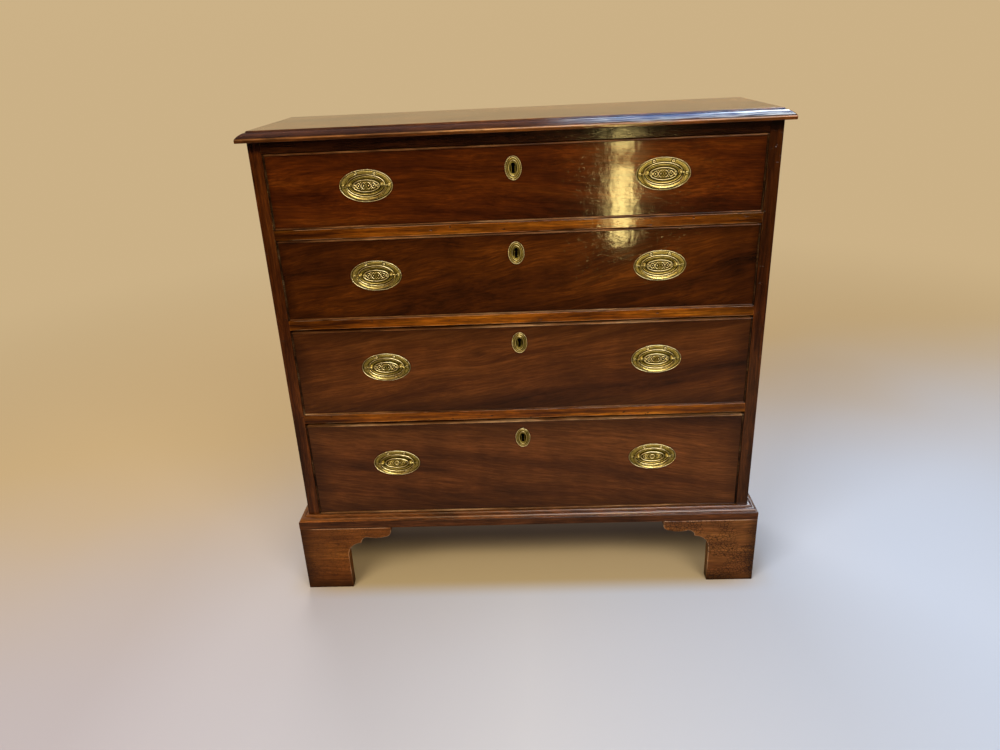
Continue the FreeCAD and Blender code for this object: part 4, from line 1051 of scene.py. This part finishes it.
def gated(shader, parts, gates):
    """How much of a glow each direction shows."""
    inside = 1.0
    for axis, low, high, before, after in gates:
        inside = shader.times(inside, shader.remap(parts[axis], low, high, before, after))
    return inside


def make_world():
    """The backdrop, and what the polish mirrors: a dark room with a cool window and a row of warm lamps."""
    world = bpy.data.worlds.new("studio")
    bpy.context.scene.world = world
    shader = Shader(world)
    parts = shader.node("SeparateXYZ", {0: shader.node("TexCoord").outputs["Generated"]}).outputs
    wall = shader.mix(shader.remap(parts[2], 0.0, 0.3), HORIZON, WALL)
    room = shader.mix(shader.remap(parts[1], -0.5, 0.35), DARK_ROOM, wall)
    room = shader.mix(shader.remap(parts[2], 0.42, 0.55), room, CEILING)
    flat = shader.node("CombineXYZ", {0: parts[0], 1: parts[1], 2: 0.0}).outputs[0]
    streaks = shader.remap(shader.noise(flat, (4.0, 4.5, 0.0)), 0.5, 0.57)
    window = shader.mix(streaks, (0.4, 2.0, 5.2), (22.0, 25.0, 27.0))
    window = shader.mix(shader.remap(parts[0], 0.02, 0.14), (0.55, 0.36, 0.34), window)
    lamps = shader.scale(shader.ramp(shader.remap(parts[0], -0.5, 0.5), LAMP_STOPS), LAMP_STRENGTH)
    for glow, gates in ((window, WINDOW_GATES), (lamps, LAMP_GATES)):
        room = shader.mix(gated(shader, parts, gates), room, glow)
    rays = shader.node("LightPath").outputs
    lit = shader.mix(rays["Is Glossy Ray"], FILL, room)
    seen = shader.mix(rays["Is Camera Ray"], lit, wall)
    shader.node("OutputWorld", {"Surface": shader.node("Background", {0: seen, 1: 1.0}).outputs[0]})


# The lamp whose reflection stands on the upper drawers, in two lengths: name, height, length, watts.
LAMPS = (("lamp_low", 0.26, 0.36, 6.8), ("lamp_high", 0.565, 0.07, 1.2))
LAMP_X, LAMP_Y = 0.505, -2.75
LAMP_WIDTH = 0.09
LAMP_TARGET = (0.185, -0.13, 0.75)
LAMP_COLOUR = (1.0, 0.76, 0.26)


def make_studio():
    bpy.context.scene.view_settings.view_transform = "Standard"
    make_camera()
    make_floor()
    make_world()
    # The soft lights only light: what the polish and the brass mirror is the world.
    for light in (
            add_light("key", (-1.5, -2.3, 2.7), (0, 0, 0.45), (1.6, 1.2), 62, (1.0, 0.95, 0.88)),
            add_light("front", (1.3, -2.4, 2.5), (0, 0, 0.4), (1.4, 1.0), 42, (1.0, 0.93, 0.82)),
            add_light("rear", (-0.6, 2.2, 3.0), (0, 0.1, 0.4), (1.6, 1.2), 48, (1.0, 0.94, 0.86))):
        light.visible_glossy = False
    for name, height, length, power in LAMPS:
        add_light(name, (LAMP_X, LAMP_Y, height), LAMP_TARGET, (LAMP_WIDTH, length), power, LAMP_COLOUR)


old_iron = metal("iron", IRON, 0.45, keyhole_shade=(0.006, FRONT + 0.0165))
make_case()
make_base()
make_inside(old_iron)
make_drawers(old_iron)
make_studio()
